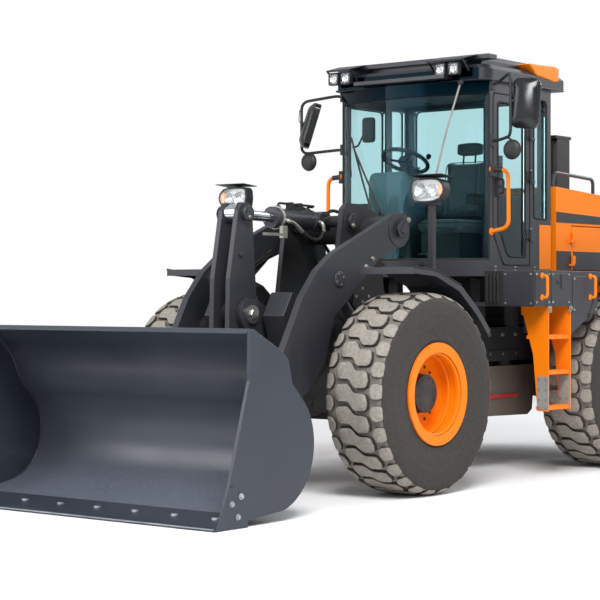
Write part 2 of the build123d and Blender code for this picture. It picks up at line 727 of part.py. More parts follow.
def ladders():
    outer = PLATFORM_OUTER
    top = PLATFORM_LOW - FIT
    outline = [
        (outer - 250, top),
        (outer, top),
        (outer, AXLE_Z - 205),
        (outer - 100, AXLE_Z - 205),
        (outer - 140, AXLE_Z + 240),
    ]
    one = cross_plate(outline, LADDER_FRONT - LADDER_SIDE, LADDER_FRONT)
    one += cross_plate(outline, LADDER_BACK, LADDER_BACK + LADDER_SIDE)
    one += block(LADDER_BACK, LADDER_FRONT, outer - 250, outer - 240, top - 70, top)
    for z in (AXLE_Z - 195, AXLE_Z + 85, AXLE_Z + 365):
        depth = 115 if z < AXLE_Z + 300 else 200
        one += block(LADDER_BACK, LADDER_FRONT, outer - depth, outer - 8, z, z + 30)
    save("access_ladders", one, other_side(one))


# Cab

def cab_plan(inset):
    half = CAB_HALF_WIDTH - inset
    back = CAB_BACK_X + inset
    nose = CAB_FRONT_X + CAB_NOSE_BULGE - inset
    walls = Polyline((CAB_FRONT_X, -half), (back, -half), (back, half), (CAB_FRONT_X, half))
    bow = ThreePointArc((CAB_FRONT_X, half), (nose, 0), (CAB_FRONT_X, -half))
    return make_face([*walls.edges(), *bow.edges()])


def cab_slab(inset, z_low, z_high):
    return Pos(0, 0, z_low) * extrude(cab_plan(inset), amount=z_high - z_low)


def door_opening(grow):
    left = DOOR_BACK - grow
    right = DOOR_FRONT + grow
    low = DOOR_LOW - grow
    high = DOOR_HIGH + grow
    return [(left, low), (right - 150, low), (right, low + 260), (right, high), (left, high)]


def door_hinge_heights():
    return (DOOR_LOW + 220, DOOR_LOW + 700, DOOR_HIGH - 330)


def cab_frame():
    half = CAB_HALF_WIDTH
    wall = CAB_WALL
    shell = cab_slab(0, CAB_BASE_Z, CAB_TOP_Z)
    shell -= cab_slab(wall, CAB_BASE_Z + 40, CAB_TOP_Z + 1)
    shell -= side_plate(door_opening(0), half - wall - 1, half + 1)
    shell -= side_plate(door_opening(-30), -half - 1, -half + wall + 1)
    for s in (-1, 1):
        ends = sorted((s * (half + 1), s * (half - wall - 1)))
        shell -= block(QUARTER_BACK, QUARTER_FRONT, ends[0], ends[1], SILL_Z + 350, GLASS_TOP_Z)
    back_low = SILL_Z + 560
    shell -= block(CAB_BACK_X - 1, CAB_BACK_X + wall + 1, -half + 110, half - 110, back_low, GLASS_TOP_Z)
    shell -= block(CAB_FRONT_X + 1, CAB_FRONT_X + 400, -half, half, SILL_Z, GLASS_TOP_Z)
    hinge_x = DOOR_BACK + DOOR_GAP
    for z in door_hinge_heights():
        low = z - FIT - 20
        shell += block(hinge_x - 45, hinge_x - 8, half - 2, half + 29, low, low + 20)
        shell += bar_z(hinge_x, half + 16, 13, low, low + 20)
    save("cab_frame", shell)


def cab_windows():
    half = CAB_HALF_WIDTH
    wall = CAB_WALL
    zone = block(CAB_FRONT_X + 1.5, CAB_FRONT_X + 400, -half, half, SILL_Z + FIT, GLASS_TOP_Z - FIT)
    front = (cab_slab(14, SILL_Z, GLASS_TOP_Z) - cab_slab(14 + GLASS, SILL_Z - 1, GLASS_TOP_Z + 1)) & zone
    panes = [front]
    mid = half - wall / 2
    for s in (-1, 1):
        ends = sorted((s * (mid - GLASS / 2), s * (mid + GLASS / 2)))
        quarter = block(
            QUARTER_BACK + FIT,
            QUARTER_FRONT - FIT,
            ends[0],
            ends[1],
            SILL_Z + 350 + FIT,
            GLASS_TOP_Z - FIT,
        )
        panes.append(quarter)
    panes.append(side_plate(door_opening(-30 - FIT), -mid - GLASS / 2, -mid + GLASS / 2))
    back_x = CAB_BACK_X + wall / 2
    panes.append(
        block(
            back_x - GLASS / 2,
            back_x + GLASS / 2,
            -half + 110 + FIT,
            half - 110 - FIT,
            SILL_Z + 560 + FIT,
            GLASS_TOP_Z - FIT,
        )
    )
    save("cab_windows", *panes)


def cab_door():
    half = CAB_HALF_WIDTH
    gap = DOOR_GAP
    panel = side_plate(door_opening(-gap), half - DOOR_PANEL, half)
    panel -= side_plate(door_opening(-gap - 62), half - DOOR_PANEL - 1, half + 1)
    hinge_x = DOOR_BACK + gap
    for z in door_hinge_heights():
        panel += bar_z(hinge_x, half + 16, 13, z, z + 80)
        panel += block(hinge_x, hinge_x + 50, half - 2, half + 8, z, z + 80)
    panel += block(DOOR_FRONT - 75, DOOR_FRONT - 40, half - 2, half + 30, DOOR_LOW + 560, DOOR_LOW + 700)
    mid = half - DOOR_PANEL / 2
    pane = side_plate(door_opening(-gap - 62 - FIT), mid - GLASS / 2, mid + GLASS / 2)
    save("cab_door", panel)
    save("cab_door_glass", pane)


def cab_roof():
    half = CAB_HALF_WIDTH + 20
    back = CAB_BACK_X - 175
    front = CAB_FRONT_X + 110
    low = CAB_TOP_Z + FIT
    slab = block(back, front, -half, half, low, low + 130)
    slab = fillet(slab.edges().filter_by(Axis.Z).sort_by(Axis.X)[2:], 120)
    slab = chamfer(slab.edges().group_by(Axis.Z)[-1], 35)
    brow = block(front - 60, front + 120, -450, 450, low + 20, low + 50)
    rise = block(back + 40, front - 120, -half + 110, half - 110, low + 129, low + 220)
    rise = chamfer(rise.edges().group_by(Axis.Z)[-1], 40)
    save("cab_roof", slab + brow + rise)


def work_lights():
    lamps = []
    z = CAB_TOP_Z + 80
    x = CAB_FRONT_X + 190
    for y in (-640, -540, 540, 640):
        lamp = block(x - 30, x + 30, y - 42, y + 42, z - 42, z + 42)
        arm = block(CAB_FRONT_X + 100, x - 29, y - 10, y + 10, z - 10, z + 10)
        lamps.append(lamp + arm)
    body = cab_roof_body()
    save("work_lights", *[lamp - body for lamp in lamps])


def cab_roof_body():
    half = CAB_HALF_WIDTH + 20
    front = CAB_FRONT_X + 110
    low = CAB_TOP_Z + FIT
    return block(front - 400, front + FIT, -half, half, low - FIT, low + 131)


def operator_seat():
    x = CAB_FRONT_X - 560
    base = CAB_BASE_Z + 40 + FIT
    pedestal = block(x - 200, x + 180, -190, 190, base, base + 330)
    cushion = block(x - 240, x + 240, -250, 250, base + 330 + FIT, base + 440)
    cushion = fillet(cushion.edges().filter_by(Axis.Z), 60)
    rest = [
        (x - 250, base + 440 + FIT),
        (x - 130, base + 440 + FIT),
        (x - 210, base + 1130),
        (x - 310, base + 1130),
    ]
    back = side_plate(rest, -240, 240)
    arms = None
    for s in (-1, 1):
        ends = sorted((s * 258, s * 330))
        arm = block(x - 150, x + 190, ends[0], ends[1], base + 560, base + 620)
        arm += block(x - 120, x - 60, ends[0], ends[1], base + 60, base + 561)
        arms = arm if arms is None else arms + arm
    arms += block(x - 120, x - 60, -331, 331, base + 60, base + 110) - pedestal
    save("seat_pedestal", pedestal + arms)
    save("seat_cushions", cushion, back)


def steering_column():
    x = CAB_FRONT_X - 30
    base = CAB_BASE_Z + 40 + FIT
    top = (x - 130, 0, base + 780)
    column = bar_between((x + 30, 0, base), top, 45)
    column -= block(x - 200, x + 200, -100, 100, base - 60, base)
    tilt = Plane(origin=top, z_dir=Vector(*top) - Vector(x + 30, 0, base))
    wheel = tilt * Torus(190, 15)
    spokes = tilt * Box(370, 24, 12) + tilt * Box(24, 370, 12) + tilt * Cylinder(48, 40)
    dash = block(x + 10, x + 110, -170, 170, base + 420, base + 640)
    dash += block(x - 80, x + 12, -30, 30, base + 500, base + 560)
    save("steering_column", column + wheel + spokes + dash)


def cab_console():
    x = CAB_FRONT_X - 560
    base = CAB_BASE_Z + 40 + FIT
    box = block(x - 280, x + 260, -640, -380, base, base + 560)
    box = chamfer(box.edges().filter_by(Axis.Y).group_by(Axis.Z)[-1], 40)
    lever = bar_between((x + 190, -500, base + 550), (x + 200, -500, base + 700), 12)
    knob = Pos(x + 200, -500, base + 710) * Sphere(26)
    save("cab_console", box + lever + knob)


def mirrors():
    x = CAB_FRONT_X + 125
    y = 1050
    z = CAB_TOP_Z - 220
    housing = block(x - 35, x + 35, y - 130, y + 130, z - 225, z + 225)
    housing = fillet(housing.edges().filter_by(Axis.X), 50)
    post = bar_z(x - 50, y, 14, z - 480, z + 260)
    cab_side = (CAB_FRONT_X - 20, CAB_HALF_WIDTH + FIT)
    arm_high = bar_between((cab_side[0], cab_side[1] + 12, z + 180), (x - 50, y, z + 250), 13)
    arm_low = bar_between((cab_side[0], cab_side[1] + 12, z - 260), (x - 50, y, z - 265), 13)
    pad = (cab_side[0] - 20, cab_side[0] + 20, cab_side[1], cab_side[1] + 18)
    pads = block(*pad, z + 110, z + 205) + block(*pad, z - 310, z - 210)
    joint = bar_x(y, z - 120, 12, x - 55, x - 30) + bar_x(y, z + 120, 12, x - 55, x - 30)
    low_arm = bar_x(y, z - 460, 12, x - 50, x + 10)
    round_glass = bar_x(y, z - 460, 95, x + 5, x + 40)
    one = housing + post + arm_high + arm_low + pads + joint + low_arm + round_glass
    save("mirrors", one, other_side(one))


def grab_rails():
    x = CAB_FRONT_X - 12
    y = CAB_HALF_WIDTH
    low = CAB_BASE_Z + 330
    high = CAB_BASE_Z + 870
    rails = []
    path = [(x, y + FIT, low), (x, y + 70, low), (x, y + 70, high), (x, y + FIT, high)]
    pillar = bent_tube(path, 40, 16)
    rails.append(pillar)
    rails.append(other_side(pillar))
    deck = PLATFORM_HIGH
    for a in (PLATFORM_FRONT - 110, REAR_AXLE_X + 700):
        near = PLATFORM_OUTER + FIT
        far = PLATFORM_OUTER + 55
        path = [(a, near, deck - 210), (a, far, deck - 210), (a, far, deck - 40), (a, near, deck - 40)]
        rail = bent_tube(path, 24, 13)
        rails.append(rail)
        rails.append(other_side(rail))
    save("grab_rails", *rails)


def tail_lights():
    back = REAR_AXLE_X - REAR_OVERHANG
    z = AXLE_Z + HOOD_BASE_RISE - 12 + FIT
    one = block(back + 120, back + 200, HOOD_HALF_WIDTH + 15, HOOD_HALF_WIDTH + 115, z, z + 110)
    save("tail_lights", one, other_side(one))


# Lift arms and bucket linkage

def boom_outline():
    p = BOOM_PIVOT
    b = BUCKET_PIN
    k = CRANK_PIVOT
    return [
        shifted(p, -60, 118),
        shifted(p, 30, 132),
        shifted(k, -418, 441),
        shifted(k, -239, 317),
        shifted(k, -62, 120),
        shifted(k, 146, -245),
        shifted(b, -190, 330),
        shifted(b, 40, 100),
        shifted(b, -60, -90),
        shifted(k, -167, -520),
        shifted(k, -325, -355),
        shifted(k, -437, -14),
        shifted(k, -600, 100),
        shifted(k, -750, 230),
        shifted(p, 239, -215),
        shifted(p, -40, -125),
    ]


def boom_arms():
    inner = BOOM_INNER_Y
    outer = BOOM_FACE_Y
    arm = side_plate(boom_outline(), inner, outer)
    arm += bar_y(BOOM_PIVOT, BOOM_BOSS_RADIUS, inner, outer + 6)
    arm += bar_y(BUCKET_PIN, TIP_BOSS_RADIUS, inner - 6, outer + 6)
    arm += bar_y(LIFT_EYE, 75, LIFT_CYLINDER_Y + LINK_HALF_WIDTH, inner + 1)
    arm -= bar_y(BOOM_PIVOT, BOOM_PIN_RADIUS + FIT, inner - 10, outer + 50)
    arm -= bar_y(BUCKET_PIN, BUCKET_PIN_RADIUS + FIT, inner - 10, outer + 50)
    save("boom_arms", arm, other_side(arm))


def boom_cross_tube():
    reach = BOOM_INNER_Y - FIT
    tube = bar_y(CROSS_TUBE, CROSS_TUBE_RADIUS, -reach, reach)
    outline = [
        shifted(CROSS_TUBE, -60, 100),
        shifted(CRANK_PIVOT, -60, 110),
        shifted(CRANK_PIVOT, 90, 60),
        shifted(CRANK_PIVOT, 60, -100),
        shifted(CROSS_TUBE, 60, -100),
        shifted(CROSS_TUBE, -60, -90),
    ]
    inner = CRANK_OUTER_Y + SIDE_GAP
    outer = inner + 45
    for s in (-1, 1):
        ends = sorted((s * inner, s * outer))
        ear = side_plate(outline, ends[0], ends[1]) + bar_y(CRANK_PIVOT, 115, ends[0], ends[1])
        tube += ear
    tube -= bar_y(CRANK_PIVOT, CRANK_PIN_RADIUS + FIT, -outer - 1, outer + 1)
    save("boom_cross_tube", tube)


def crank_pin():
    outer = CRANK_OUTER_Y + SIDE_GAP + 45
    pin = bar_y(CRANK_PIVOT, CRANK_PIN_RADIUS, -outer - SIDE_GAP, outer + SIDE_GAP)
    for s in (-1, 1):
        ends = sorted((s * (outer + FIT), s * (outer + 22)))
        pin += bar_y(CRANK_PIVOT, CRANK_PIN_RADIUS + 22, ends[0], ends[1])
    save("bell_crank_pin", pin)


def bell_crank():
    k = CRANK_PIVOT
    t = CRANK_TOP
    f = CRANK_FOOT
    outline = [
        shifted(t, -78, 20),
        shifted(t, -40, 78),
        shifted(t, 40, 78),
        shifted(t, 78, 20),
        shifted(k, 175, 260),
        shifted(k, 185, -120),
        shifted(f, 82, 40),
        shifted(f, 60, -70),
        shifted(f, -60, -70),
        shifted(f, -82, 40),
        shifted(k, -105, -110),
        shifted(k, -120, 120),
    ]
    plates = []
    for s in (-1, 1):
        ends = sorted((s * CRANK_GAP / 2, s * CRANK_OUTER_Y))
        plate = side_plate(outline, ends[0], ends[1])
        plate -= bar_y(k, CRANK_PIN_RADIUS + FIT, ends[0] - 1, ends[1] + 1)
        outside = sorted((s * CRANK_OUTER_Y, s * (CRANK_OUTER_Y + 30)))
        plate += bar_y(t, 50, outside[0], outside[1]) + bar_y(f, 50, outside[0], outside[1])
        plates.append(plate)
    inner = CRANK_GAP / 2 + 0.5
    hub = bar_y(k, 100, -inner, inner) - bar_y(k, CRANK_PIN_RADIUS + FIT, -inner - 1, inner + 1)
    save("bell_crank", plates[0] + plates[1] + hub)


def bucket_link():
    u = BUCKET_LINK_PIN
    f = CRANK_FOOT
    half = LINK_HALF_WIDTH
    angle = math.atan2(u[1] - f[1], u[0] - f[0])
    nx = -math.sin(angle) * 55
    nz = math.cos(angle) * 55
    shank = [shifted(f, nx, nz), shifted(u, nx, nz), shifted(u, -nx, -nz), shifted(f, -nx, -nz)]
    link = side_plate(shank, -half + 10, half - 10)
    link += bar_y(f, 76, -half, half) + bar_y(u, 64, -half, half)
    link -= bar_y(u, LINK_PIN_RADIUS + FIT, -half - 1, half + 1)
    save("bucket_link", link)


def bucket_link_pin():
    outer = LINK_HALF_WIDTH + SIDE_GAP + LINK_LUG
    pin = bar_y(BUCKET_LINK_PIN, LINK_PIN_RADIUS, -outer - SIDE_GAP, outer + SIDE_GAP)
    for s in (-1, 1):
        ends = sorted((s * (outer + FIT), s * (outer + 18)))
        pin += bar_y(BUCKET_LINK_PIN, LINK_PIN_RADIUS + 16, ends[0], ends[1])
    save("bucket_link_pin", pin)


def bucket_lugs(pin, inner_y, thick, radius, root):
    outline = [
        (pin[0] - radius * 0.4, pin[1] + radius * 0.92),
        (pin[0] + root[0][0], pin[1] + root[0][1]),
        (pin[0] + root[1][0], pin[1] + root[1][1]),
        (pin[0] - radius * 0.4, pin[1] - radius * 0.92),
    ]
    plates = None
    for s in (-1, 1):
        ends = sorted((s * inner_y, s * (inner_y + thick)))
        plate = side_plate(outline, ends[0], ends[1]) + bar_y(pin, radius, ends[0], ends[1])
        plates = plate if plates is None else plates + plate
    return plates


def bucket_sketch():
    b = BUCKET_PIN
    centre = shifted(b, 570, 95)
    radius = BUCKET_BACK_RADIUS
    angles = [math.radians(degrees) for degrees in (145, 200, 256)]
    at = [shifted(centre, radius * math.cos(a), radius * math.sin(a)) for a in angles]
    lip_corners = [shifted(b, 758, 846), shifted(b, 461, 694), shifted(b, 405, 640), shifted(b, 368, 490)]
    lip = Polyline(*lip_corners, at[0])
    bowl = ThreePointArc(at[0], at[1], at[2])
    floor_line = Polyline(at[2], shifted(b, 816, -345))
    return [*lip.edges(), *bowl.edges(), *floor_line.edges()]


def bucket_profile():
    edges = bucket_sketch()
    band = offset(Wire(edges), amount=BUCKET_SHELL, side=Side.LEFT, closed=True)
    return make_face(band)


def bucket_shell():
    b = BUCKET_PIN
    half = BUCKET_WIDTH / 2
    inside = half - BUCKET_SIDE_PLATE
    profile = Plane.XZ.offset(inside + 1) * bucket_profile()
    shell = extrude(profile, amount=2 * inside + 2, dir=(0, 1, 0))
    edges = bucket_sketch()
    mouth = Polyline(
        shifted(b, 816, -345),
        shifted(b, 816, -345 + CUTTING_EDGE + FIT),
        shifted(b, 1075, -345 - 17 + FIT),
        shifted(b, 985, -110),
        shifted(b, 795, 524),
        shifted(b, 790, 827),
    )
    lip = Polyline(shifted(b, 790, 827), shifted(b, 758, 846))
    cheek = make_face([*edges, *mouth.edges(), *lip.edges()])
    for y in (-half, inside):
        shell += extrude(Plane.XZ.offset(-y) * cheek, amount=BUCKET_SIDE_PLATE, dir=(0, 1, 0))
    shell += lugs_on_back()
    save("bucket_shell", shell)


def lugs_on_back():
    boom_root = ((330, 330), (300, -250))
    outside = BOOM_FACE_Y + 6 + SIDE_GAP
    inside = BOOM_INNER_Y - 6 - SIDE_GAP - LINK_LUG
    lugs = bucket_lugs(BUCKET_PIN, outside, LINK_LUG, 88, boom_root)
    lugs += bucket_lugs(BUCKET_PIN, inside, LINK_LUG, 88, boom_root)
    link_root = ((260, 300), (140, -200))
    lugs += bucket_lugs(BUCKET_LINK_PIN, LINK_HALF_WIDTH + SIDE_GAP, LINK_LUG, 78, link_root)
    span = BUCKET_WIDTH - 2 * BUCKET_SIDE_PLATE
    edges = bucket_sketch()
    closing = Polyline(shifted(BUCKET_PIN, 816, -345), shifted(BUCKET_PIN, 758, 846))
    region = Plane.XZ.offset(span / 2) * make_face([*edges, *closing.edges()])
    lugs -= extrude(region, amount=span, dir=(0, 1, 0))
    lugs -= bar_y(BUCKET_PIN, BUCKET_PIN_RADIUS + FIT, -BOOM_FACE_Y - 100, BOOM_FACE_Y + 100)
    lugs -= bar_y(BUCKET_LINK_PIN, LINK_PIN_RADIUS + FIT, -200, 200)
    return lugs


def cutting_edge():
    b = BUCKET_PIN
    half = BUCKET_WIDTH / 2
    top = CUTTING_EDGE
    outline = [
        shifted(b, 818, -345),
        shifted(b, 818, -345 + top),
        shifted(b, 1085, -364),
        shifted(b, BUCKET_REACH, -BUCKET_PIN_Z + 8),
        shifted(b, BUCKET_REACH, -BUCKET_PIN_Z),
        shifted(b, 1010, -BUCKET_PIN_Z + 18),
    ]
    edge = side_plate(outline, -half, half)
    save("cutting_edge", edge)


def bucket_hinge_pins():
    outer = BOOM_FACE_Y + 6 + SIDE_GAP + LINK_LUG
    inner = BOOM_INNER_Y - 6 - SIDE_GAP - LINK_LUG
    pin = bar_y(BUCKET_PIN, BUCKET_PIN_RADIUS, inner - 8, outer + 8)
    pin += bar_y(BUCKET_PIN, BUCKET_PIN_RADIUS + 18, outer + FIT, outer + 22)
    pin += bar_y(BUCKET_PIN, BUCKET_PIN_RADIUS + 18, inner - 22, inner - FIT)
    save("bucket_hinge_pins", pin, other_side(pin))


# Hydraulic cylinders

def unit(start, end):
    dx = end[0] - start[0]
    dz = end[1] - start[1]
    length = math.hypot(dx, dz)
    return (dx / length, dz / length), length


def along(start, way, distance):
    return (start[0] + way[0] * distance, start[1] + way[1] * distance)


def barrel_in_plane(base, tip, y, radius, rod_radius, length, eye, pin_radius, half):
    way, reach = unit(base, tip)
    start = along(base, way, eye + 20)
    end = along(base, way, length)
    tube = bar_between((start[0], y, start[1]), (end[0], y, end[1]), radius)
    tube += bar_between((base[0], y, base[1]), (start[0], y, start[1]), min(half, radius - 8))
    neck = along(base, way, length - 60)
    gland = bar_between((neck[0], y, neck[1]), (end[0], y, end[1]), radius + 8)
    barrel = tube + gland + bar_y(base, eye, y - half, y + half)
    hollow_start = along(base, way, eye + 40)
    hollow_end = along(base, way, length + 5)
    bore_start = (hollow_start[0], y, hollow_start[1])
    bore_end = (hollow_end[0], y, hollow_end[1])
    barrel -= bar_between(bore_start, bore_end, rod_radius + FIT)
    return barrel - bar_y(base, pin_radius + FIT, y - half - 1, y + half + 1)


def rod_in_plane(base, tip, y, rod_radius, eye, half, inside):
    way, reach = unit(base, tip)
    start = along(base, way, inside)
    end = along(base, way, reach - eye * 0.6)
    rod = bar_between((start[0], y, start[1]), (end[0], y, end[1]), rod_radius)
    return rod + bar_y(tip, eye, y - half, y + half)


def tilt_cylinder():
    half = LINK_HALF_WIDTH
    stroke_room = 110
    barrel = barrel_in_plane(
        TILT_BASE,
        CRANK_TOP,
        0,
        TILT_BARREL_RADIUS,
        TILT_ROD_RADIUS,
        TILT_BARREL_LENGTH,
        80,
        CRANK_PIN_RADIUS,
        half,
    )
    save("tilt_cylinder_barrel", barrel)
    inside = TILT_BARREL_LENGTH - 2 * stroke_room - 90
    rod = rod_in_plane(TILT_BASE, CRANK_TOP, 0, TILT_ROD_RADIUS, 70, half, inside)
    save("tilt_cylinder_rod", rod)


def lift_cylinders():
    half = LINK_HALF_WIDTH - 12
    for name, y in (("left", LIFT_CYLINDER_Y), ("right", -LIFT_CYLINDER_Y)):
        barrel = barrel_in_plane(
            LIFT_BASE,
            LIFT_EYE,
            y,
            LIFT_BARREL_RADIUS,
            LIFT_ROD_RADIUS,
            LIFT_BARREL_LENGTH,
            75,
            LINK_PIN_RADIUS,
            half,
        )
        save(f"lift_cylinder_barrel_{name}", barrel)
        rod = rod_in_plane(LIFT_BASE, LIFT_EYE, y, LIFT_ROD_RADIUS, 68, half, 145)
        save(f"lift_cylinder_rod_{name}", rod)


def steering_cylinders():
    base_x = PIVOT_X - STEER_PIN_REACH_REAR
    tip_x = PIVOT_X + STEER_PIN_REACH_FRONT
    half = STEER_EYE_HALF
    for name, y in (("left", STEER_PIN_Y), ("right", -STEER_PIN_Y)):
        tube = bar_x(y, STEER_Z, STEER_BARREL_RADIUS, base_x + 68, base_x + 500)
        tube += bar_x(y, STEER_Z, half - 2, base_x + 40, base_x + 70)
        eye = bar_z(base_x, y, 55, STEER_Z - half, STEER_Z + half)
        barrel = tube + eye - bar_x(y, STEER_Z, STEER_ROD_RADIUS + FIT, base_x + 90, base_x + 510)
        barrel -= bar_z(base_x, y, 30 + FIT, STEER_Z - half - 1, STEER_Z + half + 1)
        save(f"steering_cylinder_barrel_{name}", barrel)
        rod = bar_x(y, STEER_Z, STEER_ROD_RADIUS, base_x + 345, tip_x - 30)
        rod += bar_z(tip_x, y, 44, STEER_Z - half, STEER_Z + half)
        save(f"steering_cylinder_rod_{name}", rod)


os.makedirs("parts", exist_ok=True)
wheels()
front_frame()
front_axle()
front_fenders()
headlights()
rear_frame()
rear_axle()
transmission()
engine_block()
counterweight()
engine_hood()
hood_doors()
rear_grille()
stack_and_rails()
side_platforms()
rear_fenders()
ladders()
cab_frame()
cab_windows()
cab_door()
cab_roof()
work_lights()
operator_seat()
steering_column()
cab_console()
mirrors()
grab_rails()
tail_lights()
boom_arms()
boom_cross_tube()
crank_pin()
bell_crank()
bucket_link()
bucket_link_pin()
bucket_shell()
cutting_edge()
bucket_hinge_pins()
tilt_cylinder()
lift_cylinders()
steering_cylinders()
print(len(written), "parts written")
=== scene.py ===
import math

import bmesh
import bpy
from mathutils import Matrix, Vector


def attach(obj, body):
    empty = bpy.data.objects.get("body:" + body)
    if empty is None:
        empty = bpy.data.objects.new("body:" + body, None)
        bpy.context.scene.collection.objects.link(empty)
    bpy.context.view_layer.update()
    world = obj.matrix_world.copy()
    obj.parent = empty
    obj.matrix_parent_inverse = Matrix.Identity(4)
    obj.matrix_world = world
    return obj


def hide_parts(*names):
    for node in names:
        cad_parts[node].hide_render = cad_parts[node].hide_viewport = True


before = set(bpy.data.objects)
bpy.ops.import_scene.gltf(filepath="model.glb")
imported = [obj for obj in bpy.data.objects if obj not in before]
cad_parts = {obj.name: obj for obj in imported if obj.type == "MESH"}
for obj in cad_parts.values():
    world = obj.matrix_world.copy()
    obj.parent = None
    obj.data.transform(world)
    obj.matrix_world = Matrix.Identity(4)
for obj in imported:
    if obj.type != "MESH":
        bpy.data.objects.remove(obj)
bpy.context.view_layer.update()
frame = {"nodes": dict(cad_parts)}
nodes = frame["nodes"]

# Places on the loader, metres, as the CAD model has them
AXLE_Z = 0.735
AXLES = {"front": 1.045, "rear": -1.855}
WHEEL_Y = 0.965
TYRE_RADIUS = 0.735
BOOM_PIVOT = (0.64, 1.945)
BUCKET_PIN = (2.44, 0.39)
CRANK_PIVOT = (1.88, 1.31)
CRANK_TOP = (1.885, 2.04)
CRANK_FOOT = (1.99, 0.57)
CRANK_FACE_Y = 0.125
TILT_BASE = (0.88, 2.01)
LIFT_BASE = (0.56, 0.76)
LIFT_EYE = (1.39, 1.565)
STEER_BASE = (-1.05, 0.85)
STEER_EYE = (-0.22, 0.85)
BOOM_FACE_Y = 0.57
CAB_HALF = 0.74
CAB_FRONT = -0.375
CAB_NOSE = 0.185
HOOD_HALF = 0.75
PLATFORM_TOP = 1.64
PLATFORM_EDGE = 1.2
HOOD_BACK = -3.51
REAR_END = -3.575
BUCKET_HALF = 1.275
FRONT_FRAME_HALF = 0.33
REAR_FRAME_HALF = 0.46
TOWER_HALF = 0.29
SIDES = {"left": 1, "right": -1}
FORWARD = Vector((1, 0, 0))
LEFT = Vector((0, 1, 0))
UP = Vector((0, 0, 1))


# Node helpers

def colour(code):
    channels = [int(code[n:n + 2], 16) / 255 for n in (0, 2, 4)]
    linear = [c / 12.92 if c <= 0.04045 else ((c + 0.055) / 1.055) ** 2.4 for c in channels]
    return (*linear, 1)


def add(tree, kind, inputs=None, **settings):
    made = tree.nodes.new(kind)
    for name, value in settings.items():
        setattr(made, name, value)
    for name, value in (inputs or {}).items():
        if isinstance(value, bpy.types.NodeSocket):
            tree.links.new(value, made.inputs[name])
        else:
            made.inputs[name].default_value = value
    return made


def blend_colour(tree, share, first, second, way="MIX"):
    made = add(tree, "ShaderNodeMix", {0: share, 6: first, 7: second}, data_type="RGBA", blend_type=way)
    return made.outputs[2]


def ramp(tree, value, low, high, to_low=0.0, to_high=1.0):
    inputs = {"Value": value, "From Min": low, "From Max": high, "To Min": to_low, "To Max": to_high}
    return add(tree, "ShaderNodeMapRange", inputs).outputs[0]


def times(tree, first, second):
    return add(tree, "ShaderNodeMath", {0: first, 1: second}, operation="MULTIPLY").outputs[0]


def noise(tree, place, per_metre, detail=3.0, stretch=None):
    if stretch:
        place = add(tree, "ShaderNodeMapping", {"Vector": place, "Scale": stretch}).outputs[0]
    inputs = {"Vector": place, "Scale": per_metre, "Detail": detail, "Roughness": 0.55}
    return add(tree, "ShaderNodeTexNoise", inputs).outputs["Fac"]


def bump(tree, height, strength, distance, normal=None):
    inputs = {"Height": height, "Strength": strength, "Distance": distance}
    if normal:
        inputs["Normal"] = normal
    return add(tree, "ShaderNodeBump", inputs).outputs[0]


def new_material(name):
    material = bpy.data.materials.new(name)
    material.use_nodes = True
    tree = material.node_tree
    tree.nodes.clear()
    place = add(tree, "ShaderNodeTexCoord")
    surface = add(tree, "ShaderNodeBsdfPrincipled")
    add(tree, "ShaderNodeOutputMaterial", {"Surface": surface.outputs[0]})
    return material, tree, place.outputs["Object"], surface


def connect(tree, surface, **inputs):
    for name, value in inputs.items():
        socket = surface.inputs[name.replace("_", " ")]
        if isinstance(value, bpy.types.NodeSocket):
            tree.links.new(value, socket)
        else:
            socket.default_value = value


def edge_share(tree, radius, low=0.86, high=0.985):
    """1 along sharp edges and 0 on flat faces, with the rounded normal that the edge has."""
    rounded = add(tree, "ShaderNodeBevel", {"Radius": radius}, samples=4)
    plain = add(tree, "ShaderNodeNewGeometry")
    likeness = add(
        tree, "ShaderNodeVectorMath", {0: rounded.outputs[0], 1: plain.outputs["Normal"]},
        operation="DOT_PRODUCT"
    )
    return ramp(tree, likeness.outputs["Value"], low, high, 1, 0), rounded.outputs[0]


# Materials

def paint(
    name, base, dust, primer, roughness=0.34, dustiness=0.5, wear=0.6, grain=300, low_dirt_and_shade=0.5, gloss=0.5,
    patchy=0.42
):
    """Two-pack enamel sprayed on welded steel: orange peel, settled dust, edges rubbed to primer."""
    material, tree, here, surface = new_material(name)
    drift = noise(tree, here, 1.7, 4)
    specks = noise(tree, here, 70, 5)
    smear = noise(tree, here, 9, 4, (1, 1, 0.25))
    lying = add(tree, "ShaderNodeSeparateXYZ", {0: here.node.outputs["Normal"]}).outputs[2]
    height = add(tree, "ShaderNodeSeparateXYZ", {0: here}).outputs[2]
    settled = times(tree, ramp(tree, lying, 0.55, 1.0, 0.0, 0.55), ramp(tree, specks, 0.35, 0.65))
    # Lighter low down by the object's height: splashed dirt on most paints; on the bucket's inside skin the
    # smear covers everything, so it is a painted shading gradient that leaves the top dark.
    splash_and_shade = times(
        tree, ramp(tree, height, 1.3, 0.35, 0.0, low_dirt_and_shade), ramp(tree, smear, patchy, patchy + 0.28)
    )
    powder = add(tree, "ShaderNodeMath", {0: settled, 1: splash_and_shade}, operation="ADD", use_clamp=True)
    tint = blend_colour(tree, ramp(tree, drift, 0.3, 0.75, 0, 0.07), colour(base), colour(dust))
    dusty = blend_colour(tree, times(tree, powder.outputs[0], dustiness), tint, colour(dust))
    edge, rounded = edge_share(tree, 0.004)
    rubbed = times(tree, edge, ramp(tree, specks, 0.5, 0.62, 0, wear))
    finish = blend_colour(tree, rubbed, dusty, colour(primer))
    rough = ramp(tree, drift, 0.25, 0.75, roughness - 0.05, roughness + 0.14)
    peel = bump(tree, noise(tree, here, grain, 2), 0.12, 0.0006, rounded)
    connect(tree, surface, Base_Color=finish, Roughness=rough, Normal=peel)
    connect(tree, surface, IOR=1.5, Specular_IOR_Level=gloss)
    return material


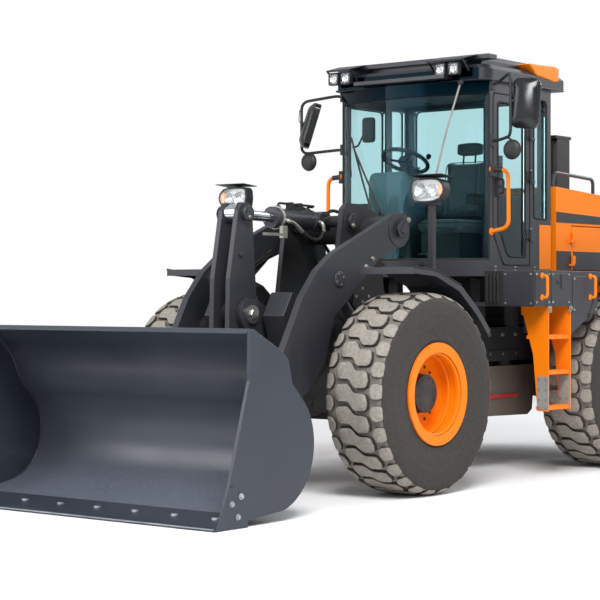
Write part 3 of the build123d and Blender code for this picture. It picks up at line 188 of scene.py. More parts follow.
def bare_steel(name, base, dark, roughness=0.38, brushed=(1, 1, 1), marks=40, metallic=0.9):
    """Steel rubbed bare by the work: bright with fine scratches, darker where it has oxidised."""
    material, tree, here, surface = new_material(name)
    scratches = noise(tree, here, marks * 4, 6, brushed)
    patches = noise(tree, here, 5, 5)
    tint = blend_colour(tree, ramp(tree, patches, 0.35, 0.7), colour(base), colour(dark))
    rounded = edge_share(tree, 0.002)[1]
    rough = ramp(tree, scratches, 0.3, 0.7, roughness - 0.1, roughness + 0.18)
    scored = bump(tree, scratches, 0.25, 0.0008, rounded)
    connect(tree, surface, Base_Color=tint, Roughness=rough, Metallic=metallic, Normal=scored)
    return material


def cast_iron(name, base, dust):
    """Sand-cast iron under thin paint: pebbled skin, dull, dust and old oil in the hollows."""
    material, tree, here, surface = new_material(name)
    sand = noise(tree, here, 180, 4)
    stains = noise(tree, here, 6, 5)
    tint = blend_colour(tree, ramp(tree, stains, 0.4, 0.72, 0, 0.75), colour(base), colour(dust))
    rounded = edge_share(tree, 0.006)[1]
    skin = bump(tree, sand, 0.45, 0.0015, rounded)
    rough = ramp(tree, stains, 0.3, 0.7, 0.55, 0.85)
    connect(tree, surface, Base_Color=tint, Roughness=rough, Normal=skin)
    return material


def moulded(name, base, roughness=0.55, grain=260, depth=0.0006):
    """Moulded plastic, polypropylene or ABS, with the fine spark-eroded grain of its mould."""
    material, tree, here, surface = new_material(name)
    texture = noise(tree, here, grain, 3)
    handled = noise(tree, here, 4, 3)
    pale = [min(1, c * 1.9 + 0.02) for c in colour(base)[:3]]
    tint = blend_colour(tree, ramp(tree, handled, 0.4, 0.8, 0, 0.35), colour(base), (*pale, 1))
    relief = bump(tree, texture, 0.3, depth)
    rough = ramp(tree, handled, 0.3, 0.7, roughness - 0.08, roughness + 0.1)
    connect(tree, surface, Base_Color=tint, Roughness=rough, IOR=1.49, Normal=relief)
    return material


def rubber(name, base, dust, dustiness, rings=0.0, shaded_flanks=False):
    """Carbon-black rubber: matt and dark, with dust on what touches the ground and moulding rings."""
    material, tree, here, surface = new_material(name)
    grit = noise(tree, here, 45, 6)
    film = noise(tree, here, 3.5, 4)
    scuffs = noise(tree, here, 14, 5, (1, 0.3, 1))
    share = times(
        tree, ramp(tree, grit, 0.2, 0.75, 0.3, 1), ramp(tree, film, 0.2, 0.8, dustiness * 0.7, dustiness)
    )
    tint = blend_colour(tree, share, colour(base), colour(dust))
    cut = blend_colour(tree, ramp(tree, scuffs, 0.6, 0.75, 0, 0.35), tint, colour(base))
    height = noise(tree, here, 160, 4)
    if shaded_flanks:
        # Painted shade in the grooves: the tread blocks' flanks are dark 3a3733 up to three quarters of
        # their height, fading into the tread colour at the top.
        crest = add(tree, "ShaderNodeAttribute", attribute_name="crest").outputs["Fac"]
        cut = blend_colour(tree, ramp(tree, crest, 0.75, 0.97), colour("3a3733"), cut)
    if rings:
        far = add(tree, "ShaderNodeAttribute", attribute_name="radius").outputs["Fac"]
        turned = add(tree, "ShaderNodeCombineXYZ", {0: times(tree, far, rings)}).outputs[0]
        lines = add(
            tree, "ShaderNodeTexNoise", {"Vector": turned, "Scale": 1.0, "Detail": 3.0}
        ).outputs["Fac"]
        height = add(
            tree, "ShaderNodeMath", {0: lines, 1: times(tree, height, 0.3)}, operation="ADD"
        ).outputs[0]
        cut = blend_colour(tree, ramp(tree, lines, 0.52, 0.72, 0, 0.25), cut, colour(dust))
    relief = bump(tree, height, 0.5, 0.0015)
    connect(tree, surface, Base_Color=cut, Roughness=ramp(tree, film, 0.3, 0.7, 0.72, 0.92))
    connect(tree, surface, Normal=relief, Specular_IOR_Level=0.35)
    return material


def chrome_plate(name):
    """Hard chrome on a ground rod: mirror bright, faint round grinding lines, a film of oil."""
    material, tree, here, surface = new_material(name)
    lines = noise(tree, here, 500, 2)
    film = noise(tree, here, 12, 3)
    tint = blend_colour(tree, ramp(tree, film, 0.4, 0.7), colour("dfe3e6"), colour("b9c0c8"))
    relief = bump(tree, lines, 0.05, 0.0002)
    connect(tree, surface, Base_Color=tint, Metallic=1.0, Normal=relief)
    connect(tree, surface, Roughness=ramp(tree, film, 0.3, 0.7, 0.06, 0.18))
    return material


def clear_pane(name, tint, through, glint):
    """Toughened glass or clear polycarbonate: tinted right through, and lamp light passes."""
    material, tree, here, surface = new_material(name)
    ripple = noise(tree, here, 1.1, 1)
    relief = bump(tree, ripple, 0.04, 0.004)
    connect(tree, surface, Base_Color=colour(tint), Transmission_Weight=1.0, IOR=1.46, Roughness=0.0)
    connect(tree, surface, Normal=relief, Specular_Tint=colour(glint), Specular_IOR_Level=0.18)
    rays = add(tree, "ShaderNodeLightPath")
    open_way = add(tree, "ShaderNodeBsdfTransparent", {"Color": colour(through)})
    either = add(
        tree, "ShaderNodeMixShader",
        {0: rays.outputs["Is Shadow Ray"], 1: surface.outputs[0], 2: open_way.outputs[0]}
    )
    tree.links.new(either.outputs[0], tree.nodes["Material Output"].inputs["Surface"])
    return material


def woven_cloth(name, base, thread):
    """Flat-woven polyester seat cloth: a thread every 3 mm, two tones, a soft sheen."""
    material, tree, here, surface = new_material(name)
    across = add(
        tree, "ShaderNodeTexWave", {"Vector": here, "Scale": 52.0, "Distortion": 0.6}, bands_direction="Y"
    )
    along = add(
        tree, "ShaderNodeTexWave", {"Vector": here, "Scale": 52.0, "Distortion": 0.6},
        bands_direction="DIAGONAL"
    )
    weave = times(tree, across.outputs["Fac"], along.outputs["Fac"])
    tint = blend_colour(tree, weave, colour(base), colour(thread))
    worn = blend_colour(tree, ramp(tree, noise(tree, here, 7), 0.4, 0.7, 0, 0.3), tint, colour(thread))
    relief = bump(tree, weave, 0.5, 0.001)
    connect(tree, surface, Base_Color=worn, Roughness=0.9, Sheen_Weight=0.3, Normal=relief)
    return material


def mirror_glass(name):
    """Silvered glass, first quality, with a little dust on its face."""
    material, tree, here, surface = new_material(name)
    dust = noise(tree, here, 30, 4)
    tint = blend_colour(tree, ramp(tree, dust, 0.5, 0.8, 0, 0.2), colour("d8dee0"), colour("a7a49c"))
    connect(tree, surface, Base_Color=tint, Metallic=1.0, Roughness=ramp(tree, dust, 0.4, 0.8, 0.03, 0.15))
    return material


def lens(name, tint, roughness=0.12):
    """Moulded polycarbonate lens: glossy colour with fine prisms behind it."""
    material, tree, here, surface = new_material(name)
    prisms = add(
        tree, "ShaderNodeTexWave", {"Vector": here, "Scale": 40.0}, bands_direction="Y"
    ).outputs["Fac"]
    deep = [c * 0.55 for c in colour(tint)[:3]]
    shade = blend_colour(tree, prisms, colour(tint), (*deep, 1))
    relief = bump(tree, prisms, 0.2, 0.001)
    connect(tree, surface, Base_Color=shade, Roughness=roughness, IOR=1.58, Normal=relief)
    connect(tree, surface, Coat_Weight=0.6, Coat_Roughness=0.05)
    return material


CHARCOAL = paint("charcoal_enamel", "313238", "6f6b65", "6e6a66", wear=0.4, dustiness=0.35)
BOOM_PAINT = paint("boom_enamel", "2b2c32", "6f6d69", "75716c", roughness=0.36, wear=0.4, dustiness=0.35)
BUCKET_PAINT = paint(
    "bucket_enamel", "2a2f3a", "6f7278", "8d8f91", 0.3, wear=0.7, dustiness=0.12, low_dirt_and_shade=0.15
)
ROOF_PAINT = paint("roof_enamel", "20222a", "54565c", "5e5c5a", roughness=0.3, wear=0.3, dustiness=0.3)
# Inside of the bucket: near-black at the top, evenly lighter towards its floor; a painted shading gradient,
# partly real dust settled low.
BUCKET_SHADED_SKIN = paint(
    "bucket_inside_shaded_enamel", "0b0f18", "868d9c", "7b7e84", 0.3, 0.55, 0.5, low_dirt_and_shade=0.58, patchy=-0.2
)
ORANGE = paint("orange_enamel", "f87f08", "d08a44", "c9b8a4", 0.36, 0.15, 0.25, low_dirt_and_shade=0.2, gloss=0.22)
FRAME_PAINT = paint(
    "frame_enamel", "26272a", "5f5a52", "5a5653", roughness=0.5, dustiness=0.5, low_dirt_and_shade=0.5
)
EDGE_STEEL = bare_steel("worn_edge_plate", "c3c7cd", "8b8f96", 0.5, (0.3, 2.5, 1), 30, 0.45)
PIN_STEEL = bare_steel("turned_pin_steel", "b5b4b0", "827c73", 0.3, (1, 1, 1), 60)
ZINC = bare_steel("zinc_plated_bolts", "c2c1ba", "8f8a7c", 0.42, (1, 1, 1), 80)
CAST = cast_iron("cast_housing_iron", "2c2c30", "55504a")
CHROME = chrome_plate("hard_chrome_rod")
SIDEWALL = rubber("tyre_sidewall_rubber", "282625", "5b5651", 0.45, rings=260)
GROOVE = rubber("tyre_groove_rubber", "5e5851", "8d8780", 0.85)
GUARD = paint("brown_grey_primer", "5f544b", "7b7068", "8a8076", 0.6, 0.5, 0.3)
TREAD = rubber("tyre_tread_rubber", "67625b", "aea79d", 0.95, shaded_flanks=True)
SEAL = rubber("sealing_rubber", "1c1c1d", "4a4845", 0.3)
PLASTIC = moulded("black_polypropylene", "1f2022")
TRIM = moulded("grey_cab_trim", "34373b", 0.65)
DARK_STRIPE = moulded("satin_black_panel", "2b2c30", 0.4, 200, 0.0003)
RED_BAR = paint("red_lock_bar_enamel", "c3202a", "8d7a70", "c9c2b8", roughness=0.3)
GLASS = clear_pane("teal_tinted_glass", "d3ecee", "5f868c", "0b4a62")
TOP_BAND = clear_pane("shade_band_glass", "245a70", "2f5a68", "0b4a62")
HOUSING = moulded("gloss_black_housing", "141517", 0.22)
STRAP = moulded("grey_rubber_strap", "8f8c87", 0.7)
DASH = moulded("grey_dashboard_skin", "5d6a6d", 0.7)
CLEAR = clear_pane("clear_lamp_cover", "f2f5f5", "f0f4f4", "ffffff")
SCREEN = lens("display_screen", "16202a", 0.08)
AMBER = lens("amber_lens", "f08a12")
RED_LENS = lens("red_lens", "b3121a")
WHITE_LENS = lens("white_lens", "e4e6e4")
MIRROR = mirror_glass("silvered_mirror")
CLOTH = woven_cloth("woven_seat_cloth", "3c3f43", "6b6e70")
REFLECTOR = bare_steel("lamp_reflector_foil", "e6e8ea", "c9ccd0", 0.15, (1, 1, 1), 20, 1.0)

NODE_FINISH = {
    node: finish
    for finish, nodes in (
        (BOOM_PAINT, "boom_arms boom_cross_tube bell_crank bucket_link"),
        (BUCKET_PAINT, "bucket_shell cutting_edge"),
        (PIN_STEEL, "bell_crank_pin bucket_link_pin bucket_hinge_pins"),
        (FRAME_PAINT, "front_frame rear_frame"), (CAST, "front_axle rear_axle transmission engine_block"),
        (CHARCOAL, "counterweight hood_rails side_platforms rear_fenders cab_frame cab_door front_fenders"),
        (ORANGE, "engine_hood hood_door_left hood_door_right access_ladders grab_rails"),
        (DARK_STRIPE, "rear_grille"),
        (PLASTIC, "intake_duct work_lights seat_pedestal steering_column mirrors tail_lights headlights"),
        (GLASS, "cab_windows cab_door_glass"), (ROOF_PAINT, "cab_roof"), (CLOTH, "seat_cushions"),
        (TRIM, "cab_console")
    )
    for node in nodes.split()
}


def finish_of(node):
    if node in NODE_FINISH:
        return NODE_FINISH[node]
    if node.endswith("tyre"):
        return SIDEWALL
    if node.endswith("rim"):
        return ORANGE
    return CHROME if "_rod" in node else BOOM_PAINT


def paint_nodes():
    for name, node in nodes.items():
        finish = finish_of(name)
        if not node.material_slots:
            node.data.materials.append(finish)
        for place in node.material_slots:
            place.material = finish


# Mesh helpers

def add_box(mesh, one, other):
    low, high = zip(*[sorted(pair) for pair in zip(one, other)])
    corners = [[(low, high)[n >> axis & 1][axis] for axis in range(3)] for n in range(8)]
    made = [mesh.verts.new(corner) for corner in corners]
    for face in ((0, 1, 3, 2), (4, 6, 7, 5), (0, 4, 5, 1), (2, 3, 7, 6), (0, 2, 6, 4), (1, 5, 7, 3)):
        mesh.faces.new([made[n] for n in face])


def add_prism(mesh, outline, way, depth):
    """A plate: the closed outline of 3-D points, carried along the direction for the depth."""
    shift = Vector(way).normalized() * depth
    near = [mesh.verts.new(point) for point in outline]
    far = [mesh.verts.new(Vector(point) + shift) for point in outline]
    mesh.faces.new(near)
    mesh.faces.new(far[::-1])
    for n in range(len(near)):
        mesh.faces.new((near[n], near[n - 1], far[n - 1], far[n]))


def add_side_plate(mesh, outline, y, depth):
    add_prism(mesh, [(x, y, z) for x, z in outline], LEFT, depth)


def add_slab(mesh, outline, y_one, y_two):
    low, high = sorted((y_one, y_two))
    add_side_plate(mesh, outline, low, high - low)


def frame_along(way):
    return Vector(way).to_track_quat("Z", "Y").to_matrix()


def add_turned(mesh, profile, centre, way, steps=32, closed=True):
    """A turned shape: (distance from the axis, place along it) points, spun round the axis."""
    turn = frame_along(way)
    centre = Vector(centre)
    rings = []
    for radius, along in profile:
        if radius < 1e-6:
            rings.append([mesh.verts.new(centre + turn @ Vector((0, 0, along)))])
            continue
        ring = []
        for n in range(steps):
            angle = math.tau * n / steps
            spot = Vector((radius * math.cos(angle), radius * math.sin(angle), along))
            ring.append(mesh.verts.new(centre + turn @ spot))
        rings.append(ring)
    pairs = list(zip(rings, rings[1:]))
    if closed and len(rings[0]) > 1 and len(rings[-1]) > 1:
        pairs.append((rings[-1], rings[0]))
    for first, second in pairs:
        for n in range(steps):
            spots = [first[n % len(first)], first[(n + 1) % len(first)]]
            spots += [second[(n + 1) % len(second)], second[n % len(second)]]
            unique = list(dict.fromkeys(spots))
            if len(unique) > 2:
                mesh.faces.new(unique)


def cap(radius, wall, top_radius, top):
    """The profile of a round cap with a bevelled rim."""
    return [(0, 0), (radius, 0), (radius, wall), (top_radius, top), (0, top)]


def add_disc(mesh, centre, way, radius, depth, lip=0.0, steps=24):
    lip = lip or min(radius, depth) * 0.2
    profile = [(0, 0), (radius, 0), (radius, depth - lip), (radius - lip, depth), (0, depth)]
    add_turned(mesh, profile, centre, way, steps)


def smooth_path(points, bend, steps=6):
    """The points with each corner rounded by an arc of about the bend."""
    points = [Vector(point) for point in points]
    path = [points[0]]
    for before, corner, after in zip(points, points[1:], points[2:]):
        start = corner + (before - corner).normalized() * min(bend, (before - corner).length * 0.45)
        stop = corner + (after - corner).normalized() * min(bend, (after - corner).length * 0.45)
        for n in range(steps + 1):
            t = n / steps
            path.append(start * (1 - t) ** 2 + corner * 2 * t * (1 - t) + stop * t ** 2)
    path.append(points[-1])
    return path


def add_pipe(mesh, points, radius, bend=0.05, sides=10):
    path = smooth_path(points, bend)
    way = (path[1] - path[0]).normalized()
    across = way.orthogonal().normalized()
    rings = []
    for n, point in enumerate(path):
        ahead = path[min(n + 1, len(path) - 1)] - path[max(n - 1, 0)]
        turn = way.rotation_difference(ahead.normalized())
        way = ahead.normalized()
        across = turn @ across
        other = way.cross(across)
        ring = []
        for k in range(sides):
            angle = math.tau * k / sides
            ring.append(
                mesh.verts.new(point + (across * math.cos(angle) + other * math.sin(angle)) * radius)
            )
        rings.append(ring)
    for first, second in zip(rings, rings[1:]):
        for k in range(sides):
            mesh.faces.new((first[k - 1], first[k], second[k], second[k - 1]))
    mesh.faces.new(rings[0])
    mesh.faces.new(rings[-1][::-1])


def add_mesh(mesh, other, material_number=None):
    first = len(mesh.faces)
    mesh.from_mesh(other)
    mesh.faces.ensure_lookup_table()
    if material_number is not None:
        for face in mesh.faces[first:]:
            face.material_index = material_number
    bpy.data.meshes.remove(other)


def piece(name, mesh, body, slot, *materials, bevel=0.0, angle=35, segments=2):
    bmesh.ops.recalc_face_normals(mesh, faces=mesh.faces)
    data = bpy.data.meshes.new(name)
    mesh.to_mesh(data)
    mesh.free()
    data.polygons.foreach_set("use_smooth", [True] * len(data.polygons))
    data.set_sharp_from_angle(angle=math.radians(angle))
    for material in materials:
        data.materials.append(material)
    made = bpy.data.objects.new(name, data)
    bpy.context.scene.collection.objects.link(made)
    if bevel:
        edge = made.modifiers.new("rounded_edges", "BEVEL")
        edge.width = bevel
        edge.segments = segments
        edge.limit_method = "ANGLE"
        edge.angle_limit = math.radians(40)
        edge.harden_normals = True
    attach(made, body)
    return made


def mirrored(points, side):
    return [(x, y * side, z) for x, y, z in points]


# Geometry Nodes for what repeats

def pattern_tree(name, sockets):
    tree = bpy.data.node_groups.new(name, "GeometryNodeTree")
    for label, kind in sockets:
        tree.interface.new_socket(label, in_out="INPUT", socket_type="NodeSocket" + kind)
    tree.interface.new_socket("Geometry", in_out="OUTPUT", socket_type="NodeSocketGeometry")
    return tree, add(tree, "NodeGroupInput").outputs


def close_tree(tree, geometry, material):
    real = add(tree, "GeometryNodeRealizeInstances", {0: geometry})
    painted = add(tree, "GeometryNodeSetMaterial", {"Geometry": real.outputs[0], "Material": material})
    add(tree, "NodeGroupOutput", {0: painted.outputs[0]})


def ring_tree():
    """Copies of a part turned evenly about an axis, such as tread blocks or bolts."""
    sockets = [("Geometry", "Geometry"), ("Part", "Object"), ("Count", "Int"), ("Way", "Vector")]
    tree, given = pattern_tree("ring_of_parts", sockets + [("Centre", "Vector"), ("Material", "Material")])
    line = add(tree, "GeometryNodeMeshLine", {"Count": given["Count"], "Offset": (0, 0, 0)})
    part = add(tree, "GeometryNodeObjectInfo", {"Object": given["Part"]})
    number = add(tree, "GeometryNodeInputIndex")
    share = add(tree, "ShaderNodeMath", {0: number.outputs[0], 1: given["Count"]}, operation="DIVIDE")
    angle = add(tree, "ShaderNodeMath", {0: share.outputs[0], 1: math.tau}, operation="MULTIPLY")
    turn = add(tree, "ShaderNodeCombineXYZ", {2: angle.outputs[0]})
    copies = add(
        tree, "GeometryNodeInstanceOnPoints",
        {"Points": line.outputs[0], "Instance": part.outputs["Geometry"], "Rotation": turn.outputs[0]}
    )
    real = add(tree, "GeometryNodeRealizeInstances", {0: copies.outputs[0]})
    facing = add(tree, "FunctionNodeAlignRotationToVector", {"Vector": given["Way"]}, axis="Z")
    placed = add(
        tree, "GeometryNodeTransform",
        {"Geometry": real.outputs[0], "Translation": given["Centre"], "Rotation": facing.outputs[0]}
    )
    close_tree(tree, placed.outputs[0], given["Material"])
    return tree


def grid_tree():
    """Copies of a part in straight rows, such as louvres, tread bars or rivets."""
    sockets = [("Geometry", "Geometry"), ("Part", "Object"), ("Count", "Int"), ("Step", "Vector")]
    sockets += [("Rows", "Int"), ("Row Step", "Vector"), ("Start", "Vector"), ("Material", "Material")]
    tree, given = pattern_tree("rows_of_parts", sockets)
    rows = add(tree, "GeometryNodeMeshLine", {"Count": given["Rows"], "Offset": given["Row Step"]})
    line = add(
        tree, "GeometryNodeMeshLine",
        {"Count": given["Count"], "Offset": given["Step"], "Start Location": given["Start"]}
    )
    spread = add(
        tree, "GeometryNodeInstanceOnPoints", {"Points": rows.outputs[0], "Instance": line.outputs[0]}
    )
    spots = add(tree, "GeometryNodeRealizeInstances", {0: spread.outputs[0]})
    part = add(tree, "GeometryNodeObjectInfo", {"Object": given["Part"]})
    copies = add(
        tree, "GeometryNodeInstanceOnPoints",
        {"Points": spots.outputs[0], "Instance": part.outputs["Geometry"]}
    )
    close_tree(tree, copies.outputs[0], given["Material"])
    return tree


def bolt_tree():
    """A hexagon bolt with its washer on each point of the mesh, along the point's own direction."""
    sockets = [("Geometry", "Geometry"), ("Head Radius", "Float"), ("Material", "Material")]
    tree, given = pattern_tree("bolts_on_points", sockets)
    washer = add(tree, "GeometryNodeMeshCylinder", {"Vertices": 16, "Radius": 1.4, "Depth": 0.3})
    head = add(tree, "GeometryNodeMeshCylinder", {"Vertices": 6, "Radius": 1.0, "Depth": 0.8})
    low = add(tree, "GeometryNodeTransform", {"Geometry": washer.outputs[0], "Translation": (0, 0, 0.1)})
    high = add(tree, "GeometryNodeTransform", {"Geometry": head.outputs[0], "Translation": (0, 0, 0.6)})
    bolt = add(tree, "GeometryNodeJoinGeometry")
    tree.links.new(low.outputs[0], bolt.inputs[0])
    tree.links.new(high.outputs[0], bolt.inputs[0])
    way = add(tree, "GeometryNodeInputNamedAttribute", {"Name": "way"}, data_type="FLOAT_VECTOR")
    facing = add(tree, "FunctionNodeAlignRotationToVector", {"Vector": way.outputs[0]}, axis="Z")
    size = add(tree, "GeometryNodeInputNamedAttribute", {"Name": "size"}, data_type="FLOAT")
    radius = add(
        tree, "ShaderNodeMath", {0: size.outputs[0], 1: given["Head Radius"]}, operation="MULTIPLY"
    )
    copies = add(
        tree, "GeometryNodeInstanceOnPoints",
        {
            "Points": given["Geometry"], "Instance": bolt.outputs[0], "Rotation": facing.outputs[0],
            "Scale": radius.outputs[0]
        }
    )
    close_tree(tree, copies.outputs[0], given["Material"])
    return tree


RING = ring_tree()
ROWS = grid_tree()
BOLTS = bolt_tree()


def grown(tree, inputs, base=None):
    """The plain mesh that a tree makes with these inputs."""
    carrier = bpy.data.objects.new("pattern_carrier", base or bpy.data.meshes.new("pattern_base"))
    bpy.context.scene.collection.objects.link(carrier)
    growth = carrier.modifiers.new("pattern", "NODES")
    growth.node_group = tree
    for item in tree.interface.items_tree:
        if item.in_out == "INPUT" and item.name in inputs:
            growth[item.identifier] = inputs[item.name]
    bpy.context.view_layer.update()
    shown = carrier.evaluated_get(bpy.context.evaluated_depsgraph_get())
    made = bpy.data.meshes.new_from_object(shown)
    bpy.data.objects.remove(carrier)
    return made


def part_object(mesh):
    data = bpy.data.meshes.new("repeated_part")
    mesh.to_mesh(data)
    mesh.free()
    part = bpy.data.objects.new("repeated_part", data)
    bpy.context.scene.collection.objects.link(part)
    return part


def ring_of(mesh, part_mesh, count, centre, way, material, number=0):
    part = part_object(part_mesh)
    inputs = {
        "Part": part, "Count": count, "Way": Vector(way), "Centre": Vector(centre), "Material": material
    }
    add_mesh(mesh, grown(RING, inputs), number)
    bpy.data.objects.remove(part)


def rows_of(mesh, part_mesh, start, count, step, rows=1, row_step=(0, 0, 0), material=None, number=0):
    part = part_object(part_mesh)
    inputs = {"Part": part, "Count": count, "Step": Vector(step), "Rows": rows}
    inputs.update({"Row Step": Vector(row_step), "Start": Vector(start), "Material": material})
    add_mesh(mesh, grown(ROWS, inputs), number)
    bpy.data.objects.remove(part)


def bolts(name, body, spots, radius=0.012, material=None, slot="worn_steel"):
    """Bolts at (place, direction) or (place, direction, share of the size)."""
    base = bpy.data.meshes.new("bolt_places")
    base.from_pydata([spot[0] for spot in spots], [], [])
    base.attributes.new("way", "FLOAT_VECTOR", "POINT")
    base.attributes.new("size", "FLOAT", "POINT")
    for n, spot in enumerate(spots):
        base.attributes["way"].data[n].vector = spot[1]
        base.attributes["size"].data[n].value = spot[2] if len(spot) > 2 else 1.0
    material = material or ZINC
    mesh = bmesh.new()
    add_mesh(mesh, grown(BOLTS, {"Head Radius": radius, "Material": material}, base), 0)
    return piece(name, mesh, body, slot, material)


def spots_at(xs, ys, zs, way, size=1.0):
    return [((x, y, z), way, size) for x in xs for y in ys for z in zs]


def circle_spots(centre, way, radius, count, start=0.0, size=1.0):
    turn = frame_along(way)
    spots = []
    for n in range(count):
        angle = start + math.tau * n / count
        spot = Vector(centre) + turn @ Vector((radius * math.cos(angle), radius * math.sin(angle), 0))
        spots.append((spot, Vector(way), size))
    return spots


# Wheels

TREAD_COUNT = 29
CROWN = [
    (0.0, 0.735), (0.13, 0.7335), (0.18, 0.728), (0.215, 0.717), (0.235, 0.705), (0.245, 0.694),
    (0.26, 0.66)
]
CARCASS = [
    (0.205, 0.322), (0.222, 0.34), (0.2265, 0.366), (0.232, 0.384), (0.238, 0.392), (0.2395, 0.402),
    (0.2385, 0.41), (0.245, 0.44), (0.2525, 0.485), (0.2565, 0.535), (0.2575, 0.56), (0.259, 0.568),
    (0.259, 0.58), (0.2572, 0.592), (0.257, 0.622), (0.2545, 0.65), (0.25, 0.67), (0.244, 0.684),
    (0.234, 0.692), (0.215, 0.698), (0.16, 0.704), (0.08, 0.708), (0.0, 0.709)
]
HALF_BLOCK = [
    (-0.146, 0.038), (-0.138, 0.08), (-0.12, 0.095), (-0.042, 0.099), (-0.018, 0.084), (0.018, 0.04),
    (0.042, 0.032), (0.108, 0.03), (0.132, 0.018)
]
CENTRE_BLOCK = HALF_BLOCK + [(-y, -s) for y, s in HALF_BLOCK]
SHOULDER_BLOCK = [
    (0.155, 0.058), (0.172, 0.095), (0.186, 0.104), (0.214, 0.105), (0.238, 0.101), (0.245, 0.088),
    (0.245, 0.004), (0.238, -0.009), (0.214, -0.013), (0.186, -0.011), (0.172, -0.003), (0.155, 0.034)
]


def follow(curve, y):
    for (y_one, one), (y_two, two) in zip(curve, curve[1:]):
        if y_one <= abs(y) <= y_two:
            share = (abs(y) - y_one) / (y_two - y_one)
            return one + (two - one) * share
    return curve[-1][1]


def block_floor(y):
    base = [(place, radius) for place, radius in reversed(CARCASS) if radius > 0.6]
    return follow(base, y) - 0.006


def add_tread_block(mesh, outline):
    """One block of the tread about the Z axis, its foot in the carcass and its top edge rounded off."""
    middle = (sum(p[0] for p in outline) / len(outline), sum(p[1] for p in outline) / len(outline))
    rings = []
    for scale, height in ((1.03, 0.0), (0.97, 0.55), (0.95, 0.92), (0.92, 1.0), (0.5, 1.0)):
        ring = []
        for y, s in outline:
            y = middle[0] + (y - middle[0]) * scale
            s = middle[1] + (s - middle[1]) * scale
            radius = block_floor(y) + (follow(CROWN, y) - block_floor(y)) * height
            angle = s / TYRE_RADIUS
            ring.append(mesh.verts.new((radius * math.cos(angle), radius * math.sin(angle), -y)))
        rings.append(ring)
    for first, second in zip(rings, rings[1:]):
        for n in range(len(outline)):
            mesh.faces.new((first[n - 1], first[n], second[n], second[n - 1]))
    top = mesh.faces.new(rings[-1])
    bmesh.ops.triangulate(mesh, faces=[top])


def tread_pitch():
    mesh = bmesh.new()
    add_tread_block(mesh, CENTRE_BLOCK)
    add_tread_block(mesh, SHOULDER_BLOCK)
    add_tread_block(mesh, [(-y, -s) for y, s in SHOULDER_BLOCK])
    return mesh


def tyre(end, side):
    y = WHEEL_Y * SIDES[side]
    hub = Vector((AXLES[end], y, AXLE_Z))
    mesh = bmesh.new()
    profile = [(radius, -place) for place, radius in CARCASS] + [
        (radius, place)
        for place, radius in CARCASS[-2::-1]
    ]
    add_turned(mesh, profile, hub, LEFT, 96)
    bmesh.ops.recalc_face_normals(mesh, faces=mesh.faces)
    for face in mesh.faces:
        reach = face.calc_center_median() - hub
        face.material_index = 1 if reach.xz.length > 0.691 else 0
    ring_of(mesh, tread_pitch(), TREAD_COUNT, hub, LEFT, TREAD, 2)
    body = f"{end}_{side}_wheel"
    made = piece(f"{end}_{side}_treaded_tyre", mesh, body, "tyre_rubber", SIDEWALL, GROOVE, TREAD, angle=38)
    reaches = [vertex.co - hub for vertex in made.data.vertices]
    far = made.data.attributes.new("radius", "FLOAT", "POINT")
    far.data.foreach_set("value", [reach.xz.length for reach in reaches])
    crests = []
    for reach in reaches:
        low = block_floor(reach.y)
        crests.append((reach.xz.length - low) / max(follow(CROWN, reach.y) - low, 0.004))
    made.data.attributes.new("crest", "FLOAT", "POINT").data.foreach_set("value", crests)
    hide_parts(f"{end}_{side}_tyre")


def wheel_details(end, side):
    out = SIDES[side]
    x = AXLES[end]
    y = WHEEL_Y * out
    way = LEFT * out
    mesh = bmesh.new()
    bead = Vector((x, y + out * 0.232, AXLE_Z))
    lock_ring = [(0.3, 0.002), (0.366, 0.002), (0.3715, 0.006), (0.3715, 0.01), (0.3, 0.006)]
    add_turned(mesh, [(r, h - 0.002) for r, h in lock_ring], Vector((x, y + out * 0.24, AXLE_Z)), way, 72)
    dish = [(0.302, -0.012), (0.296, 0.0), (0.286, -0.006), (0.284, -0.03), (0.29, -0.034)]
    add_turned(mesh, dish, bead, way, 72)
    step = [(0.296, -0.09), (0.288, -0.096), (0.288, -0.112), (0.296, -0.118)]
    add_turned(mesh, step, bead, way, 72)
    piece(f"{end}_{side}_rim_rings", mesh, f"{end}_{side}_wheel", "orange_paint", ORANGE, angle=30)
    hub = bmesh.new()
    face = Vector((x, y + out * 0.1255, AXLE_Z))
    cover = [
        (0.0, 0.0155), (0.128, 0.0155), (0.1395, 0.009), (0.1395, -0.055), (0.1385, -0.055), (0.0, 0.0)
    ]
    add_turned(hub, cover, face, way, 48)
    add_turned(hub, [(0.1385, -0.06), (0.146, -0.06), (0.146, -0.082), (0.1385, -0.082)], face, way, 48)
    add_disc(hub, face + Vector((0.045, out * 0.0155, 0.03)), way, 0.011, 0.006, steps=6)
    piece(f"{end}_{side}_hub_cover", hub, f"{end}_{side}_wheel", "charcoal_paint", CAST, angle=30)
    nuts = circle_spots((x, y + out * 0.056, AXLE_Z), way, 0.205, 16)
    nuts += circle_spots((x, y + out * 0.141, AXLE_Z), way, 0.112, 10, 0.13, 0.4)
    bolts(f"{end}_{side}_wheel_nuts", f"{end}_{side}_wheel", nuts, 0.0135, CAST if end == "front" else ZINC)
    valve = bmesh.new()
    add_pipe(
        valve,
        [
            (x + 0.262, y + out * 0.07, AXLE_Z), (x + 0.262, y + out * 0.13, AXLE_Z),
            (x + 0.245, y + out * 0.16, AXLE_Z)
        ],
        0.005, 0.03, 8
    )
    piece(f"{end}_{side}_tyre_valve", valve, f"{end}_{side}_wheel", "worn_steel", ZINC)


# Bucket

BUCKET_INSIDE = [
    (3.205, 1.222), (3.05, 1.145), (2.955, 1.075), (2.892, 0.985), (2.85, 0.885), (2.79, 0.785),
    (2.705, 0.712), (2.64, 0.61), (2.62, 0.49), (2.637, 0.35), (2.702, 0.24), (2.8, 0.157), (2.92, 0.112),
    (3.08, 0.088), (3.25, 0.073)
]


